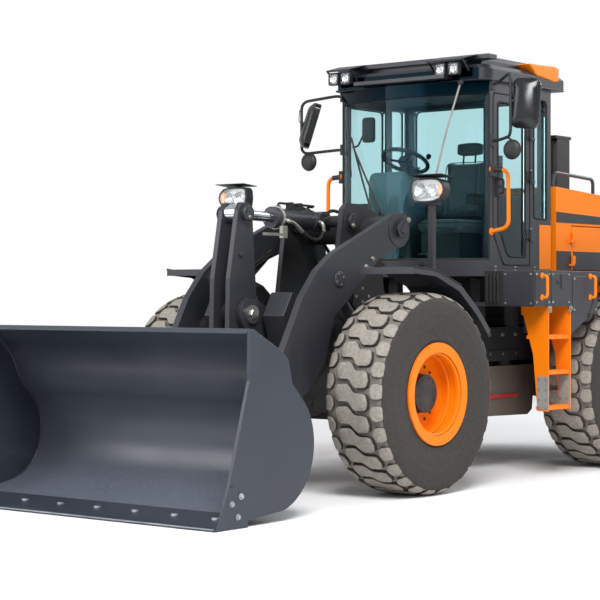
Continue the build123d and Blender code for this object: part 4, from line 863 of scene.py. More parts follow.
def bucket_details():
    body = "bucket"
    plates = bmesh.new()
    for side in (1, -1):
        y = side * (BUCKET_HALF + 0.0005)
        outline = [
            (3.262, 0.002), (3.566, 0.0), (3.552, 0.03), (3.44, 0.262), (3.385, 0.27), (3.285, 0.1),
            (3.258, 0.05)
        ]
        add_side_plate(plates, outline, y, 0.009 * side)
    piece("side_cutter_plates", plates, body, "bucket_paint", BUCKET_PAINT, bevel=0.003)
    spots = []
    for side in (1, -1):
        for x, z in ((3.33, 0.2), (3.418, 0.158), (3.36, 0.075)):
            spots.append(((x, side * (BUCKET_HALF + 0.009), z), LEFT * side, 1.0))
    lip = bmesh.new()
    add_side_plate(lip, [(3.47, 0.0285), (3.567, 0.006), (3.57, 0.012), (3.47, 0.0345)], -1.262, 2.524)
    piece("edge_wear_strip", lip, body, "worn_steel", EDGE_STEEL, bevel=0.002)
    for n in range(8):
        spots.append(((3.385, 1.12 - n * 0.345, 0.0355), (-0.1, 0, 1), 1.7))
    bolts("bucket_edge_bolts", body, spots, 0.0145, EDGE_STEEL)
    back = bmesh.new()
    add_side_plate(back, [(3.19, 1.232), (3.236, 1.206), (3.241, 1.214), (3.195, 1.241)], -1.25, 2.5)
    piece("bucket_lip", back, body, "bucket_paint", BUCKET_PAINT, bevel=0.003)
    inside = smooth_path([(a, 0, b) for a, b in BUCKET_INSIDE], 0.2, 5)
    liner = bmesh.new()
    rows = [[liner.verts.new((point.x, y, point.z)) for point in inside] for y in (-1.249, 1.249)]
    for n in range(len(inside) - 1):
        liner.faces.new((rows[0][n], rows[0][n + 1], rows[1][n + 1], rows[1][n]))
    piece("bucket_inner_skin", liner, body, "bucket_paint", BUCKET_SHADED_SKIN, angle=60)
    skids = bmesh.new()
    for y in (-1.05, -0.55, -0.05, 0.45, 0.95):
        outline = [
            (2.74, 0.141), (2.86, 0.083), (3.0, 0.058), (3.2, 0.036), (3.2, 0.048), (3.0, 0.07),
            (2.87, 0.096), (2.75, 0.155)
        ]
        add_side_plate(skids, outline, y, 0.1)
    piece("bucket_wear_strips", skids, body, "worn_steel", EDGE_STEEL, bevel=0.002)
    weld = bmesh.new()
    for side in (1, -1):
        add_pipe(weld, [(point.x + 0.004, side * 1.2465, point.z) for point in inside], 0.006, 0.01, 6)
    piece("bucket_weld_beads", weld, body, "bucket_paint", BUCKET_PAINT)


# Lift arms

def flag_plate(mesh, spots, place, side, y, reach, angle):
    """The keeper plate that locks a pin: a short flat bar across the pin's end, with its bolts."""
    x, z = place
    way = Vector((math.cos(angle), 0, math.sin(angle)))
    across = Vector((-way.z, 0, way.x))
    centre = Vector((x, y, z))
    corners = [
        way * -0.03 + across * -0.02, way * reach + across * -0.02, way * reach + across * 0.02,
        way * -0.03 + across * 0.02
    ]
    add_prism(mesh, [centre + corner for corner in corners], LEFT * side, 0.01)
    spots.append((centre + way * (reach - 0.022) + LEFT * side * 0.01, LEFT * side, 1.0))


def boom_details():
    mesh = bmesh.new()
    spots = []
    for side in (1, -1):
        outer = BOOM_FACE_Y * side
        add_turned(
            mesh, cap(0.062, 0.006, 0.056, 0.01), (BOOM_PIVOT[0], outer + side * 0.0305, BOOM_PIVOT[1]),
            LEFT * side, 40
        )
        flag_plate(mesh, spots, BOOM_PIVOT, side, outer + side * 0.0405, 0.115, 2.2)
        add_turned(
            mesh, [(0.045, 0), (0.102, 0), (0.106, 0.006), (0.1, 0.012), (0.045, 0.012)],
            (BUCKET_PIN[0], outer + side * 0.0065, BUCKET_PIN[1]), LEFT * side, 40
        )
        for x, z in ((0.98, 1.72), (1.06, 1.66)):
            spots.append(((x, outer, z), LEFT * side, 1.0))
        add_turned(mesh, cap(0.06, 0.008, 0.052, 0.014), (LIFT_EYE[0], outer, LIFT_EYE[1]), LEFT * side, 32)
        spots += circle_spots(
            (LIFT_EYE[0], outer + side * 0.006, LIFT_EYE[1]), LEFT * side, 0.042, 4, 0.4, 0.6
        )
    piece("boom_pin_keepers", mesh, "boom", "charcoal_paint", BOOM_PAINT, bevel=0.002)
    bolts("boom_bolts", "boom", spots, 0.0145)
    lines = bmesh.new()
    for side in (1, -1):
        inner = (BOOM_FACE_Y - 0.055 - 0.012) * side
        add_pipe(
            lines, [(0.86, inner, 1.8), (1.2, inner, 1.62), (1.44, inner, 1.42), (1.56, inner, 1.3)], 0.008,
            0.12
        )
        add_pipe(
            lines, [(0.86, inner, 1.775), (1.19, inner, 1.598), (1.43, inner, 1.395), (1.56, inner, 1.27)],
            0.008, 0.12
        )
        for x, z in ((0.95, 1.742), (1.22, 1.594), (1.46, 1.382)):
            add_box(
                lines, (x - 0.014, inner - side * 0.012, z - 0.032),
                (x + 0.014, inner + side * 0.0125, z + 0.034)
            )
    piece("grease_lines", lines, "boom", "worn_steel", SEAL)
    stop = bmesh.new()
    for side in (1, -1):
        add_slab(stop, [(1.66, 1.06), (1.72, 1.02), (1.7, 0.985), (1.64, 1.025)], side * 0.45, side * 0.51)
    add_side_plate(stop, [(1.5, 1.285), (1.66, 1.3), (1.66, 1.312), (1.5, 1.302)], -0.05, 0.1)
    piece("boom_stops", stop, "boom", "charcoal_paint", BOOM_PAINT, bevel=0.003)


def crank_details():
    mesh = bmesh.new()
    spots = []
    for side in (1, -1):
        for (x, z), angle in ((CRANK_TOP, -1.2), (CRANK_FOOT, 1.2)):
            end_cap = [(0, 0), (0.058, 0), (0.06, 0.004), (0.054, 0.011), (0, 0.011)]
            add_turned(mesh, end_cap, (x, CRANK_FACE_Y * side, z), LEFT * side, 32)
            flag_plate(mesh, spots, (x, z), side, (CRANK_FACE_Y + 0.011) * side, 0.05, angle)
        add_disc(
            mesh, (CRANK_TOP[0] + 0.05, 0.095 * side, CRANK_TOP[1] - 0.3), LEFT * side, 0.022, 0.014,
            steps=6
        )
    piece("crank_pin_caps", mesh, "crank", "charcoal_paint", BOOM_PAINT, bevel=0.002)
    bolts("crank_bolts", "crank", spots, 0.009)
    pivot = bmesh.new()
    for side in (1, -1):
        add_turned(
            pivot, cap(0.04, 0.008, 0.034, 0.014), (CRANK_PIVOT[0], side * 0.168, CRANK_PIVOT[1]),
            LEFT * side, 6
        )
    piece("crank_pivot_nuts", pivot, "crank_pin", "worn_steel", PIN_STEEL)
    link = bmesh.new()
    for side in (1, -1):
        outline = [(2.2, 0.596), (2.36, 0.609), (2.36, 0.595), (2.2, 0.58)]
        add_side_plate(link, outline, 0.0505 * side, 0.008 * side)
    girder = bmesh.new()
    outline = [(1.43, 1.22), (1.54, 1.44), (1.7, 1.47), (1.8, 1.3), (1.72, 1.06), (1.52, 1.03)]
    for side in (1, -1):
        add_side_plate(girder, outline, 0.185 * side, 0.195 * side)
    piece("arm_cross_girder", girder, "boom", "charcoal_paint", BOOM_PAINT, bevel=0.006)
    piece("link_web_bars", link, "link", "charcoal_paint", BOOM_PAINT, bevel=0.002)


# Cylinders

def cylinder_details(name, body, base, eye, y, radius, rod_radius, length):
    """What a welded cylinder shows: gland nut, wiper, weld rings, ports and the steel feed lines."""
    way = Vector((eye[0] - base[0], 0, eye[1] - base[1])).normalized()
    start = Vector((base[0], y, base[1]))
    mouth = start + way * length
    mesh = bmesh.new()
    gland = [
        (rod_radius + 0.0015, 0.001), (radius - 0.006, 0.001), (radius + 0.006, -0.004),
        (radius + 0.006, -0.05), (radius + 0.0005, -0.054), (radius - 0.004, -0.054),
        (rod_radius + 0.0015, -0.01)
    ]
    add_turned(mesh, gland, mouth, way, 12)
    ring = [
        (radius + 0.0005, 0.0), (radius + 0.005, 0.004), (radius + 0.005, 0.012), (radius + 0.0005, 0.016)
    ]
    add_turned(mesh, ring, start + way * 0.13, way, 32)
    up = way.cross(LEFT)
    lift = up if up.z > 0 else -up
    for along in (0.16, length - 0.085):
        port = start + way * along + lift * (radius - 0.002)
        add_turned(mesh, cap(0.019, 0.02, 0.015, 0.024), port, lift, 16)
    piece(f"{name}_gland", mesh, body, "charcoal_paint", BOOM_PAINT, angle=28)
    pipes = bmesh.new()
    far = start + way * (length - 0.085) + lift * (radius + 0.014)
    near = start + way * 0.16 + lift * (radius + 0.014)
    rise = lift * 0.026
    aside = LEFT * 0.018
    add_pipe(
        pipes,
        [
            far, far + rise, far + rise - way * 0.1, near + rise + way * 0.06 + aside,
            near + rise - way * 0.05 + aside
        ],
        0.009, 0.035
    )
    add_pipe(pipes, [near, near + rise * 0.8, near + rise * 0.8 - way * 0.06], 0.009, 0.03)
    for share in (0.35, 0.65):
        middle = near.lerp(far, share) - lift * 0.014
        corner = [
            middle + way * a + aside * b
            for a, b in ((-0.012, -1), (0.012, -1), (0.012, 2.1), (-0.012, 2.1))
        ]
        add_prism(pipes, corner, lift, 0.052)
    piece(f"{name}_lines", pipes, body, "black_plastic", SEAL)


def all_cylinder_details():
    cylinder_details("tilt", "tilt_barrel", TILT_BASE, CRANK_TOP, 0.0, 0.0725, 0.0375, 0.6)
    for side, way in SIDES.items():
        cylinder_details(
            f"lift_{side}", f"lift_barrel_{side}", LIFT_BASE, LIFT_EYE, 0.435 * way, 0.062, 0.035, 0.96
        )
        cylinder_details(
            f"steer_{side}", f"steer_barrel_{side}", STEER_BASE, STEER_EYE, 0.3 * way, 0.048, 0.025, 0.5
        )
    bar = bmesh.new()
    add_box(bar, (1.46, 0.101, 1.886), (1.7, 0.109, 1.908))
    add_box(bar, (1.42, 0.076, 1.872), (1.47, 0.112, 1.962))
    band = [(0.0735, 0.0), (0.088, 0.003), (0.088, 0.022), (0.0735, 0.025)]
    add_turned(bar, band, (1.405, 0, 2.0257), FORWARD, 32)
    add_pipe(
        bar, [(1.4, 0.068, 2.01), (1.4, 0.108, 2.0), (1.335, 0.108, 1.985), (1.235, 0.108, 1.922)], 0.0155,
        0.03, 12
    )
    add_pipe(bar, [(0.985, 0.068, 2.005), (0.985, 0.108, 1.995), (0.97, 0.108, 1.93)], 0.0155, 0.03, 12)
    piece("tilt_position_bar", bar, "tilt_barrel", "worn_steel", ZINC, bevel=0.001)
    line = bmesh.new()
    add_pipe(
        line, [(1.26, 0.108, 1.938), (1.14, 0.108, 1.872), (1.02, 0.108, 1.866), (0.968, 0.108, 1.945)],
        0.0125, 0.1, 12
    )
    for x, z in ((1.19, 1.902), (1.08, 1.868)):
        add_turned(
            line, [(0.0125, 0), (0.0165, 0.002), (0.0165, 0.012), (0.0125, 0.014)], (x, 0.108, z), FORWARD,
            12
        )
    piece("tilt_feed_line", line, "tilt_barrel", "black_plastic", SEAL)


# Front frame

def rounded_face(y_low, y_high, z_low, z_high, corner, steps=5):
    """Corner points of an upright rounded rectangle as (y, z)."""
    points = []
    for cy, cz, start in (
        (y_high - corner, z_high - corner, 0), (y_low + corner, z_high - corner, 90),
        (y_low + corner, z_low + corner, 180), (y_high - corner, z_low + corner, 270)
    ):
        for n in range(steps + 1):
            angle = math.radians(start + 90 * n / steps)
            points.append((cy + corner * math.cos(angle), cz + corner * math.sin(angle)))
    return points


def add_face_plate(mesh, outline, x, depth):
    add_prism(mesh, [(x, y, z) for y, z in outline], FORWARD, depth)


def lamp_fin():
    fin = bmesh.new()
    add_box(fin, (0, 0, 0), (0.055, 0.006, 0.11))
    return fin


def lamp_outline(y, z, way, half, rise):
    """The lamp's face as (y, z): blunt at its inner end, drawn out to a rounded point at the outer end."""
    shape = [
        (-0.94, -0.72), (-0.8, -0.96), (-0.3, -1.0), (0.3, -0.96), (0.72, -0.74), (0.95, -0.3), (1.0, 0.06)
    ]
    shape += [
        (0.93, 0.48), (0.68, 0.84), (0.28, 1.0), (-0.4, 1.0), (-0.84, 0.92), (-0.97, 0.66), (-1.0, 0.0)
    ]
    return [(y + way * half * a, z + rise * b) for a, b in shape]


def headlight(side):
    way = SIDES[side]
    x = AXLES["front"] - 0.294
    y = 0.95 * way
    z = 2.225
    housing = bmesh.new()
    face = lamp_outline(y, z, way, 0.15, 0.092)
    back = lamp_outline(y, z, way, 0.105, 0.06)
    inner = lamp_outline(y, z, way, 0.138, 0.08)
    glazing = lamp_outline(y, z, way, 0.137, 0.079)
    add_lamp_shell(housing, back, face, inner, [x + a for a in (-0.075, -0.02, 0.06, 0.06, 0.01)])
    visor = [(x - 0.07, z + 0.096), (x + 0.098, z + 0.112), (x + 0.1, z + 0.117), (x - 0.072, z + 0.102)]
    add_side_plate(housing, visor, y - 0.15, 0.3)
    add_box(housing, (x - 0.03, y - 0.02, z + 0.085), (x - 0.01, y + 0.02, z + 0.1))
    add_box(housing, (x - 0.022, y - 0.022, 1.5065), (x + 0.022, y + 0.022, z - 0.088))
    add_box(housing, (x - 0.045, y - 0.05, z - 0.104), (x + 0.045, y + 0.05, z - 0.088))
    add_box(housing, (x - 0.05, y - 0.05, 1.5635), (x + 0.05, y + 0.05, 1.5715))
    rows_of(housing, lamp_fin(), (x - 0.074, y - 0.099, z - 0.055), 9, (0, 0.024, 0), material=PLASTIC)
    shell = piece(f"headlight_housing_{side}", housing, "front_frame", "lamp_housing", PLASTIC, bevel=0.002)
    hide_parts("headlights")
    shine = bmesh.new()
    for a, size in ((-0.066 * way, 0.058), (0.04 * way, 0.046)):
        bowl = [
            (0.01, -0.036), (size * 0.55, -0.026), (size * 0.85, -0.01), (size, 0.006),
            (size - 0.003, 0.008), (size * 0.5, -0.02), (0.01, -0.03)
        ]
        add_turned(shine, bowl, (x + 0.046, y + a, z), FORWARD, 28)
        add_turned(
            shine, [(0.0, -0.03), (0.012, -0.03), (0.012, -0.004), (0.008, 0.002), (0.0, 0.003)],
            (x + 0.046, y + a, z), FORWARD, 16
        )
    piece(f"headlight_bowls_{side}", shine, "front_frame", "lamp_housing", REFLECTOR)
    bezel = bmesh.new()
    add_face_plate(bezel, glazing, x + 0.012, 0.003)
    piece(f"headlight_bezel_{side}", bezel, "front_frame", "lamp_housing", WHITE_LENS)
    cover = bmesh.new()
    add_face_plate(cover, glazing, x + 0.058, 0.004)
    piece(f"headlight_cover_{side}", cover, "front_frame", "glass", CLEAR)
    marker = bmesh.new()
    shape = [(0.098, -0.052), (0.124, -0.026), (0.132, 0.0), (0.126, 0.03), (0.102, 0.05), (0.086, 0.0)]
    add_face_plate(marker, [(y + way * a, z + b) for a, b in shape], x + 0.02, 0.034)
    piece(f"turn_lamp_{side}", marker, "front_frame", "lamp_housing", AMBER, bevel=0.004, segments=2)


def front_frame_details():
    mesh = bmesh.new()
    spots = []
    for side in (1, -1):
        face = FRONT_FRAME_HALF * side
        outer = TOWER_HALF * side
        for x, z in (
            (0.3, 1.14), (0.36, 1.08), (1.0, 1.12), (1.12, 1.08), (0.06, 0.56), (0.06, 1.16), (0.5, 0.56),
            (0.64, 0.56)
        ):
            spots.append(((x, face, z), LEFT * side, 1.2))
        for x, z in ((0.66, 1.44), (0.74, 1.4), (0.82, 1.44), (0.74, 1.5)):
            spots.append(((x, outer, z), LEFT * side, 0.9))
        add_box(mesh, (0.62, outer, 1.36), (0.86, outer + side * 0.012, 1.54))
        add_turned(
            mesh, cap(0.06, 0.01, 0.052, 0.016), (TILT_BASE[0], 0.3155 * side, TILT_BASE[1]), LEFT * side,
            36
        )
        flag_plate(mesh, spots, TILT_BASE, side, 0.3315 * side, 0.07, -0.8)
        flag_plate(mesh, spots, LIFT_BASE, side, 0.4935 * side, 0.075, 2.4)
        add_turned(
            mesh, [(0.0, 0), (0.052, 0), (0.052, 0.008), (0.0, 0.01)],
            (LIFT_BASE[0], 0.4935 * side, LIFT_BASE[1]), LEFT * side, 28
        )
    piece("front_frame_plates", mesh, "front_frame", "charcoal_paint", FRAME_PAINT, bevel=0.002)
    bolts("front_frame_bolts", "front_frame", spots, 0.014)
    valve = bmesh.new()
    add_box(valve, (0.44, -0.19, 1.26), (0.66, 0.19, 1.42))
    for n in range(4):
        y = -0.14 + n * 0.094
        add_box(valve, (0.66, y - 0.034, 1.275), (0.72, y + 0.034, 1.4))
        add_disc(valve, (0.72, y, 1.37), FORWARD, 0.022, 0.05)
        add_disc(valve, (0.55, y, 1.42), UP, 0.018, 0.035)
    piece("loader_valve_block", valve, "front_frame", "worn_steel", CAST, bevel=0.004)
    hoses = bmesh.new()
    for n, y in enumerate((-0.14, -0.046, 0.048, 0.142)):
        rise = 0.3 + 0.03 * (n % 2)
        add_pipe(
            hoses,
            [(0.55, y, 1.445), (0.55, y, 1.445 + rise), (0.62, y * 1.25, 1.86), (0.7, y * 1.3, 1.93)],
            0.014, 0.12
        )
        add_pipe(
            hoses, [(0.76, y, 1.37), (0.86, y, 1.36), (0.98, y * 1.1, 1.27), (1.04, y * 1.15, 1.19)], 0.012,
            0.08
        )
    for y in (-0.185, 0.185):
        add_pipe(
            hoses, [(0.7, y, 1.93), (0.8, y, 2.06), (0.95, y * 0.9, 2.1), (1.02, y * 0.8, 2.05)], 0.013,
            0.08
        )
    piece("tower_steel_lines", hoses, "front_frame", "black_plastic", SEAL)
    clamps = bmesh.new()
    add_box(clamps, (0.6, -0.22, 1.7), (0.63, 0.22, 1.73))
    add_box(clamps, (0.545, -0.25, 1.7), (0.6, -0.22, 1.73))
    add_box(clamps, (0.545, 0.22, 1.7), (0.6, 0.25, 1.73))
    piece("hose_clamp_bar", clamps, "front_frame", "worn_steel", ZINC, bevel=0.003)


def fender_details():
    flap = bmesh.new()
    spots = []
    top = [(0.28, 0.915), (0.0, 0.895), (-0.32, 0.788)]
    for side in (1, -1):
        edge = [(AXLES["front"] + a, side * 1.1915, AXLE_Z + b + 0.001) for a, b in top]
        add_pipe(flap, edge, 0.006, 0.08, 8)
        hanging = [(-0.716, 0.458), (-0.732, 0.448), (-0.77, 0.33), (-0.76, 0.328)]
        add_slab(flap, [(AXLES["front"] + a, AXLE_Z + b) for a, b in hanging], side * 0.7, side * 0.93)
        for a, b in ((-0.6, 0.576), (-0.66, 0.518)):
            for y_spot in (0.76, 0.95, 1.13):
                spots.append(
                    ((AXLES["front"] + a, side * y_spot, AXLE_Z + b), Vector((-0.7, 0, 0.71)), 0.8)
                )
        for a in (0.03, 0.2):
            b = 0.895 + 0.02 * a / 0.28
            spots.append(((AXLES["front"] + a, side * 0.75, AXLE_Z + b), UP, 0.8))
        knob = (AXLES["front"] - 0.7, side * 0.9, AXLE_Z + 0.385)
        add_turned(
            flap,
            [(0.0, 0.03), (0.022, 0.028), (0.03, 0.012), (0.03, -0.012), (0.022, -0.028), (0.0, -0.03)],
            knob, FORWARD + UP * 0.4, 20
        )
    piece("fender_edge_rubber", flap, "front_frame", "black_plastic", SEAL)
    bolts("fender_bolts", "front_frame", spots, 0.011)


# Axles and driveline

def axle_details():
    for end, body in (("front", "front_frame"), ("rear", "rear_frame")):
        x = AXLES[end]
        mesh = bmesh.new()
        spots = []
        nose = -1 if end == "front" else 1
        way = FORWARD * -nose
        cover = [
            (0.0, 0.035), (0.1, 0.033), (0.15, 0.016), (0.165, 0.004), (0.19, 0.004), (0.19, -0.016),
            (0.15, -0.02)
        ]
        centre = Vector((x - nose * 0.15, 0, AXLE_Z))
        add_turned(mesh, cover + [(0.0, -0.02)], centre, way, 40)
        spots += circle_spots(centre + way * 0.004, way, 0.177, 14, 0.1, 0.8)
        for side in (1, -1):
            flange = [(0.131, 0.0), (0.205, 0.0), (0.205, 0.028), (0.131, 0.028)]
            add_turned(mesh, flange, (x, side * 0.335, AXLE_Z), LEFT * side, 40)
            spots += circle_spots(
                (x, side * 0.335 + side * 0.028, AXLE_Z), LEFT * side, 0.19, 16, 0.0, 0.75
            )
            ring = [(0.186, 0.0), (0.208, 0.0), (0.208, 0.022), (0.186, 0.022)]
            add_turned(mesh, ring, (x, side * 0.6, AXLE_Z), LEFT * side, 40)
        piece(f"{end}_axle_flanges", mesh, body, "charcoal_paint", CAST, angle=30)
        bolts(f"{end}_axle_bolts", body, spots, 0.013, CAST)


def driveline_details():
    mesh = bmesh.new()
    joint = [(0.043, 0), (0.066, 0.004), (0.066, 0.03), (0.052, 0.044), (0.043, 0.046)]
    for x, way in ((-1.04, FORWARD), (-0.47, -FORWARD)):
        add_turned(mesh, joint, (x, 0, AXLE_Z), way, 24)
    for side in (1, -1):
        x, y = -1.22, side * 0.2205
        add_turned(mesh, cap(0.13, 0.012, 0.1, 0.022), (x, y, AXLE_Z + 0.12), LEFT * side, 36)
        add_box(mesh, (x - 0.25, y, AXLE_Z - 0.1), (x + 0.12, y + side * 0.012, AXLE_Z - 0.02))
    piece("driveline_joints", mesh, "rear_frame", "charcoal_paint", CAST, bevel=0.003)
    filters = bmesh.new()
    for y in (-0.3, -0.19):
        add_turned(
            filters, [(0.0, 0.0), (0.046, 0.004), (0.05, 0.02), (0.05, 0.17), (0.04, 0.185), (0.0, 0.185)],
            (-1.1, y - 0.1, 0.93), UP, 24
        )
    piece("oil_filters", filters, "rear_frame", "charcoal_paint", WHITE_LENS)
    lock = bmesh.new()
    add_box(lock, (-1.205, 0.4725, 0.596), (-0.735, 0.485, 0.624))
    add_disc(lock, (-0.76, 0.4725, 0.61), LEFT, 0.022, 0.022)
    add_disc(lock, (-1.18, 0.4725, 0.61), LEFT, 0.016, 0.02)
    piece("steering_lock_bar", lock, "rear_frame", "orange_paint", RED_BAR, bevel=0.001)
    guard = bmesh.new()
    outline = [(-0.64, 0.86), (-0.64, 0.452), (-1.38, 0.436), (-1.452, 0.478), (-1.5, 0.86)]
    for side in (1, -1):
        add_side_plate(guard, outline, 0.4605 * side, 0.012 * side)
    piece("frame_side_guards", guard, "rear_frame", "charcoal_paint", GUARD, bevel=0.002)


def rear_frame_details():
    spots = []
    mesh = bmesh.new()
    for side in (1, -1):
        face = REAR_FRAME_HALF * side
        spots += spots_at((-0.8, -1.0, -1.2, -2.3, -2.5, -2.7), [face], (0.96, 1.12), LEFT * side)
        add_box(mesh, (-1.28, face, 0.93), (-0.74, face + side * 0.01, 0.99))
        for x in (-0.7, -1.21):
            add_turned(
                mesh, [(0.03, 0), (0.056, 0.004), (0.06, 0.012), (0.056, 0.022), (0.03, 0.026)],
                (x, side * 0.415, 1.572), UP, 24
            )
    add_box(mesh, (-1.3795, -0.745, 1.4), (-1.3725, 0.745, 1.655))
    piece("rear_frame_plates", mesh, "rear_frame", "charcoal_paint", FRAME_PAINT, bevel=0.002)
    bolts("rear_frame_bolts", "rear_frame", spots, 0.013)
    pins = bmesh.new()
    spots = []
    for z in (1.232, 0.612):
        add_turned(pins, cap(0.078, 0.005, 0.072, 0.009), (-0.405, 0, z), UP, 40)
        spots += circle_spots((-0.405, 0, z + 0.009), UP, 0.055, 6)
    piece("articulation_caps", pins, "rear_frame", "charcoal_paint", CAST)
    bolts("articulation_bolts", "rear_frame", spots, 0.01)
    lines = bmesh.new()
    for n in range(3):
        for y in (0.17 + n * 0.045, -0.17 - n * 0.045):
            add_pipe(
                lines, [(-0.66, y, 1.05), (-0.8, y, 1.05), (-1.0, y, 1.24), (-1.3, y, 1.26)], 0.013, 0.08
            )
    piece("frame_steel_lines", lines, "rear_frame", "black_plastic", SEAL)


# Platforms, ladders and fenders

def tread_bar():
    bar = bmesh.new()
    outline = [
        (-0.014, -0.003), (0.0, -0.006), (0.014, -0.003), (0.014, 0.003), (0.0, 0.006), (-0.014, 0.003)
    ]
    low = [bar.verts.new((x, y, -0.0006)) for x, y in outline]
    high = [bar.verts.new((x * 0.8, y * 0.55, 0.0022)) for x, y in outline]
    bar.faces.new(low[::-1])
    bar.faces.new(high)
    for n in range(6):
        bar.faces.new((low[n - 1], low[n], high[n], high[n - 1]))
    return bar


def platform_details():
    for side, way in SIDES.items():
        plate = bmesh.new()
        rows_of(
            plate, tread_bar(), (-0.83, way * 0.8, PLATFORM_TOP), 14, (0.038, 0, 0), 9, (0, way * 0.044, 0),
            CHARCOAL
        )
        rows_of(
            plate, tread_bar(), (-1.28, way * 0.8, PLATFORM_TOP), 11, (0.038, 0, 0), 9, (0, way * 0.044, 0),
            CHARCOAL
        )
        piece(f"platform_tread_{side}", plate, "rear_frame", "charcoal_paint", CHARCOAL)
        trim = bmesh.new()
        outer = way * PLATFORM_EDGE
        add_box(trim, (-0.835, outer, 1.385), (-0.545, outer + way * 0.0035, 1.622))
        add_box(trim, (-0.525, outer, 1.372), (-0.305, outer + way * 0.0035, 1.622))
        add_box(trim, (-1.275, outer, 1.3), (-0.875, outer + way * 0.0035, 1.6))
        add_box(trim, (-0.2905, way * 0.915, 1.368), (-0.2865, way * 1.19, 1.632))
        piece(f"platform_covers_{side}", trim, "rear_frame", "charcoal_paint", CHARCOAL, bevel=0.0015)
        recess = bmesh.new()
        add_box(recess, (-0.2905, way * 0.745, 1.362), (-0.288, way * 0.912, 1.6385))
        for n in range(4):
            y = way * (0.775 + 0.034 * n)
            path = [
                (-0.292, y, 1.62), (-0.268, y, 1.6), (-0.262, y + way * 0.01, 1.5), (-0.27, y, 1.4),
                (-0.292, y, 1.38)
            ]
            add_pipe(recess, path, 0.01, 0.03, 8)
        piece(f"platform_recess_{side}", recess, "rear_frame", "black_plastic", SEAL)
        cover = [outer + way * 0.0035]
        spots = spots_at((-0.32, -0.505, -0.565, -0.815), cover, (1.392, 1.612), LEFT * way, 0.62)
        spots += spots_at((-0.9, -1.25), cover, (1.33, 1.58), LEFT * way, 0.62)
        spots += spots_at((-0.52, -0.845), [outer], [1.343], LEFT * way, 1.35)
        spots += spots_at([-0.2865], (way * 0.935, way * 1.17), (1.385, 1.612), FORWARD, 0.62)
        bolts(f"platform_bolts_{side}", "rear_frame", spots, 0.011)
        latch = bmesh.new()
        add_box(latch, (-0.7, outer + way * 0.0036, 1.5), (-0.688, outer + way * 0.009, 1.61))
        add_turned(
            latch, [(0.0, 0), (0.013, 0), (0.013, 0.006), (0.0, 0.008)],
            (-0.64, outer + way * 0.0035, 1.55), LEFT * way, 16
        )
        piece(f"platform_latch_{side}", latch, "rear_frame", "black_plastic", PLASTIC, bevel=0.001)
        feet = bmesh.new()
        for x in (-0.4, -1.155):
            y = outer + way * 0.052
            path = [
                (x, outer + way * 0.004, 1.6), (x, y, 1.6), (x, y, 1.43), (x, outer + way * 0.004, 1.43)
            ]
            add_pipe(feet, path, 0.0125, 0.035, 12)
            for z in (1.43, 1.6):
                add_turned(
                    feet, [(0.013, 0.0), (0.024, 0.0), (0.024, 0.006), (0.016, 0.012), (0.013, 0.012)],
                    (x, outer + way * 0.0004, z), LEFT * way, 16
                )
        piece(f"handle_feet_{side}", feet, "rear_frame", "orange_paint", ORANGE)


def ladder_step():
    tooth = bmesh.new()
    add_turned(tooth, [(0.006, 0), (0.011, 0), (0.0095, 0.004), (0.0065, 0.004)], (0, 0, 0), UP, 8)
    return tooth


def ladder_details():
    for side, way in SIDES.items():
        teeth = bmesh.new()
        for z, depth in ((0.57, 0.085), (0.85, 0.085), (1.13, 0.17)):
            rows = 3 if depth < 0.1 else 5
            rows_of(
                teeth, ladder_step(), (-0.83, way * 1.175, z), 12, (0.028, 0, 0), rows, (0, -way * 0.03, 0),
                ORANGE
            )
        piece(f"ladder_teeth_{side}", teeth, "rear_frame", "orange_paint", ORANGE)
        strap = bmesh.new()
        for x in (-0.8365, -0.502):
            add_box(strap, (x - 0.0035, way * 1.098, 0.545), (x + 0.0045, way * 1.202, 0.805))
        piece(f"ladder_straps_{side}", strap, "rear_frame", "black_plastic", STRAP, bevel=0.001)
        spots = []
        for x in (-0.4975, -0.832):
            for z in (0.56, 0.62, 0.7, 0.78):
                for y in (1.115, 1.18):
                    spots.append(((x, way * y, z), FORWARD, 0.55))
        spots += spots_at((-0.524, -0.83), [way * PLATFORM_EDGE], [1.325], LEFT * way, 1.2)
        bolts(f"ladder_bolts_{side}", "rear_frame", spots, 0.011)


def rear_fender_details():
    for side, way in SIDES.items():
        mesh = bmesh.new()
        x = AXLES["rear"]
        edge = [
            (-0.8555, 1.2, 1.135), (x + 0.73, 1.2, 1.265), (x + 0.52, 1.2, 1.626), (x - 0.512, 1.2, 1.626),
            (x - 0.812, 1.2, 1.365)
        ]
        add_pipe(mesh, mirrored([(a, b + 0.0005, c) for a, b, c in edge[1:]], way), 0.007, 0.12, 8)
        piece(f"rear_fender_edge_{side}", mesh, "rear_frame", "black_plastic", SEAL)
        flap = bmesh.new()
        hanging = [(x - 0.812, 1.372), (x - 0.824, 1.364), (x - 0.872, 1.17), (x - 0.862, 1.168)]
        add_slab(flap, hanging, way * 0.8, way * 1.19)
        piece(f"mud_flap_{side}", flap, "rear_frame", "black_plastic", SEAL, bevel=0.002)
        spots = [
            ((x - 0.56 - n * 0.08, way * y, 1.599 - n * 0.066 + 0.0005), Vector((-0.66, 0, 0.75)), 0.8)
            for n in range(3)
            for y in (0.9, 1.1)
        ]
        bolts(f"rear_fender_bolts_{side}", "rear_frame", spots, 0.01)


# Cab and mirrors

BOW_RADIUS = (CAB_HALF ** 2 + CAB_NOSE ** 2) / (2 * CAB_NOSE)
GLASS_LOW = 1.73
GLASS_TOP = 3.065
ROOF_LOW = 3.1604
SEAT_X = -0.935


def bow_x(y, inset=0.0):
    """How far forward the curved windscreen stands at this y."""
    return CAB_FRONT + CAB_NOSE - BOW_RADIUS + math.sqrt((BOW_RADIUS - inset) ** 2 - y * y)


def door_outline(grow):
    back, front, low, high = -0.977 - grow, -0.417 + grow, 1.69 - grow, 3.07 + grow
    return [(back, low), (front - 0.15, low), (front, low + 0.26), (front, high), (back, high)]


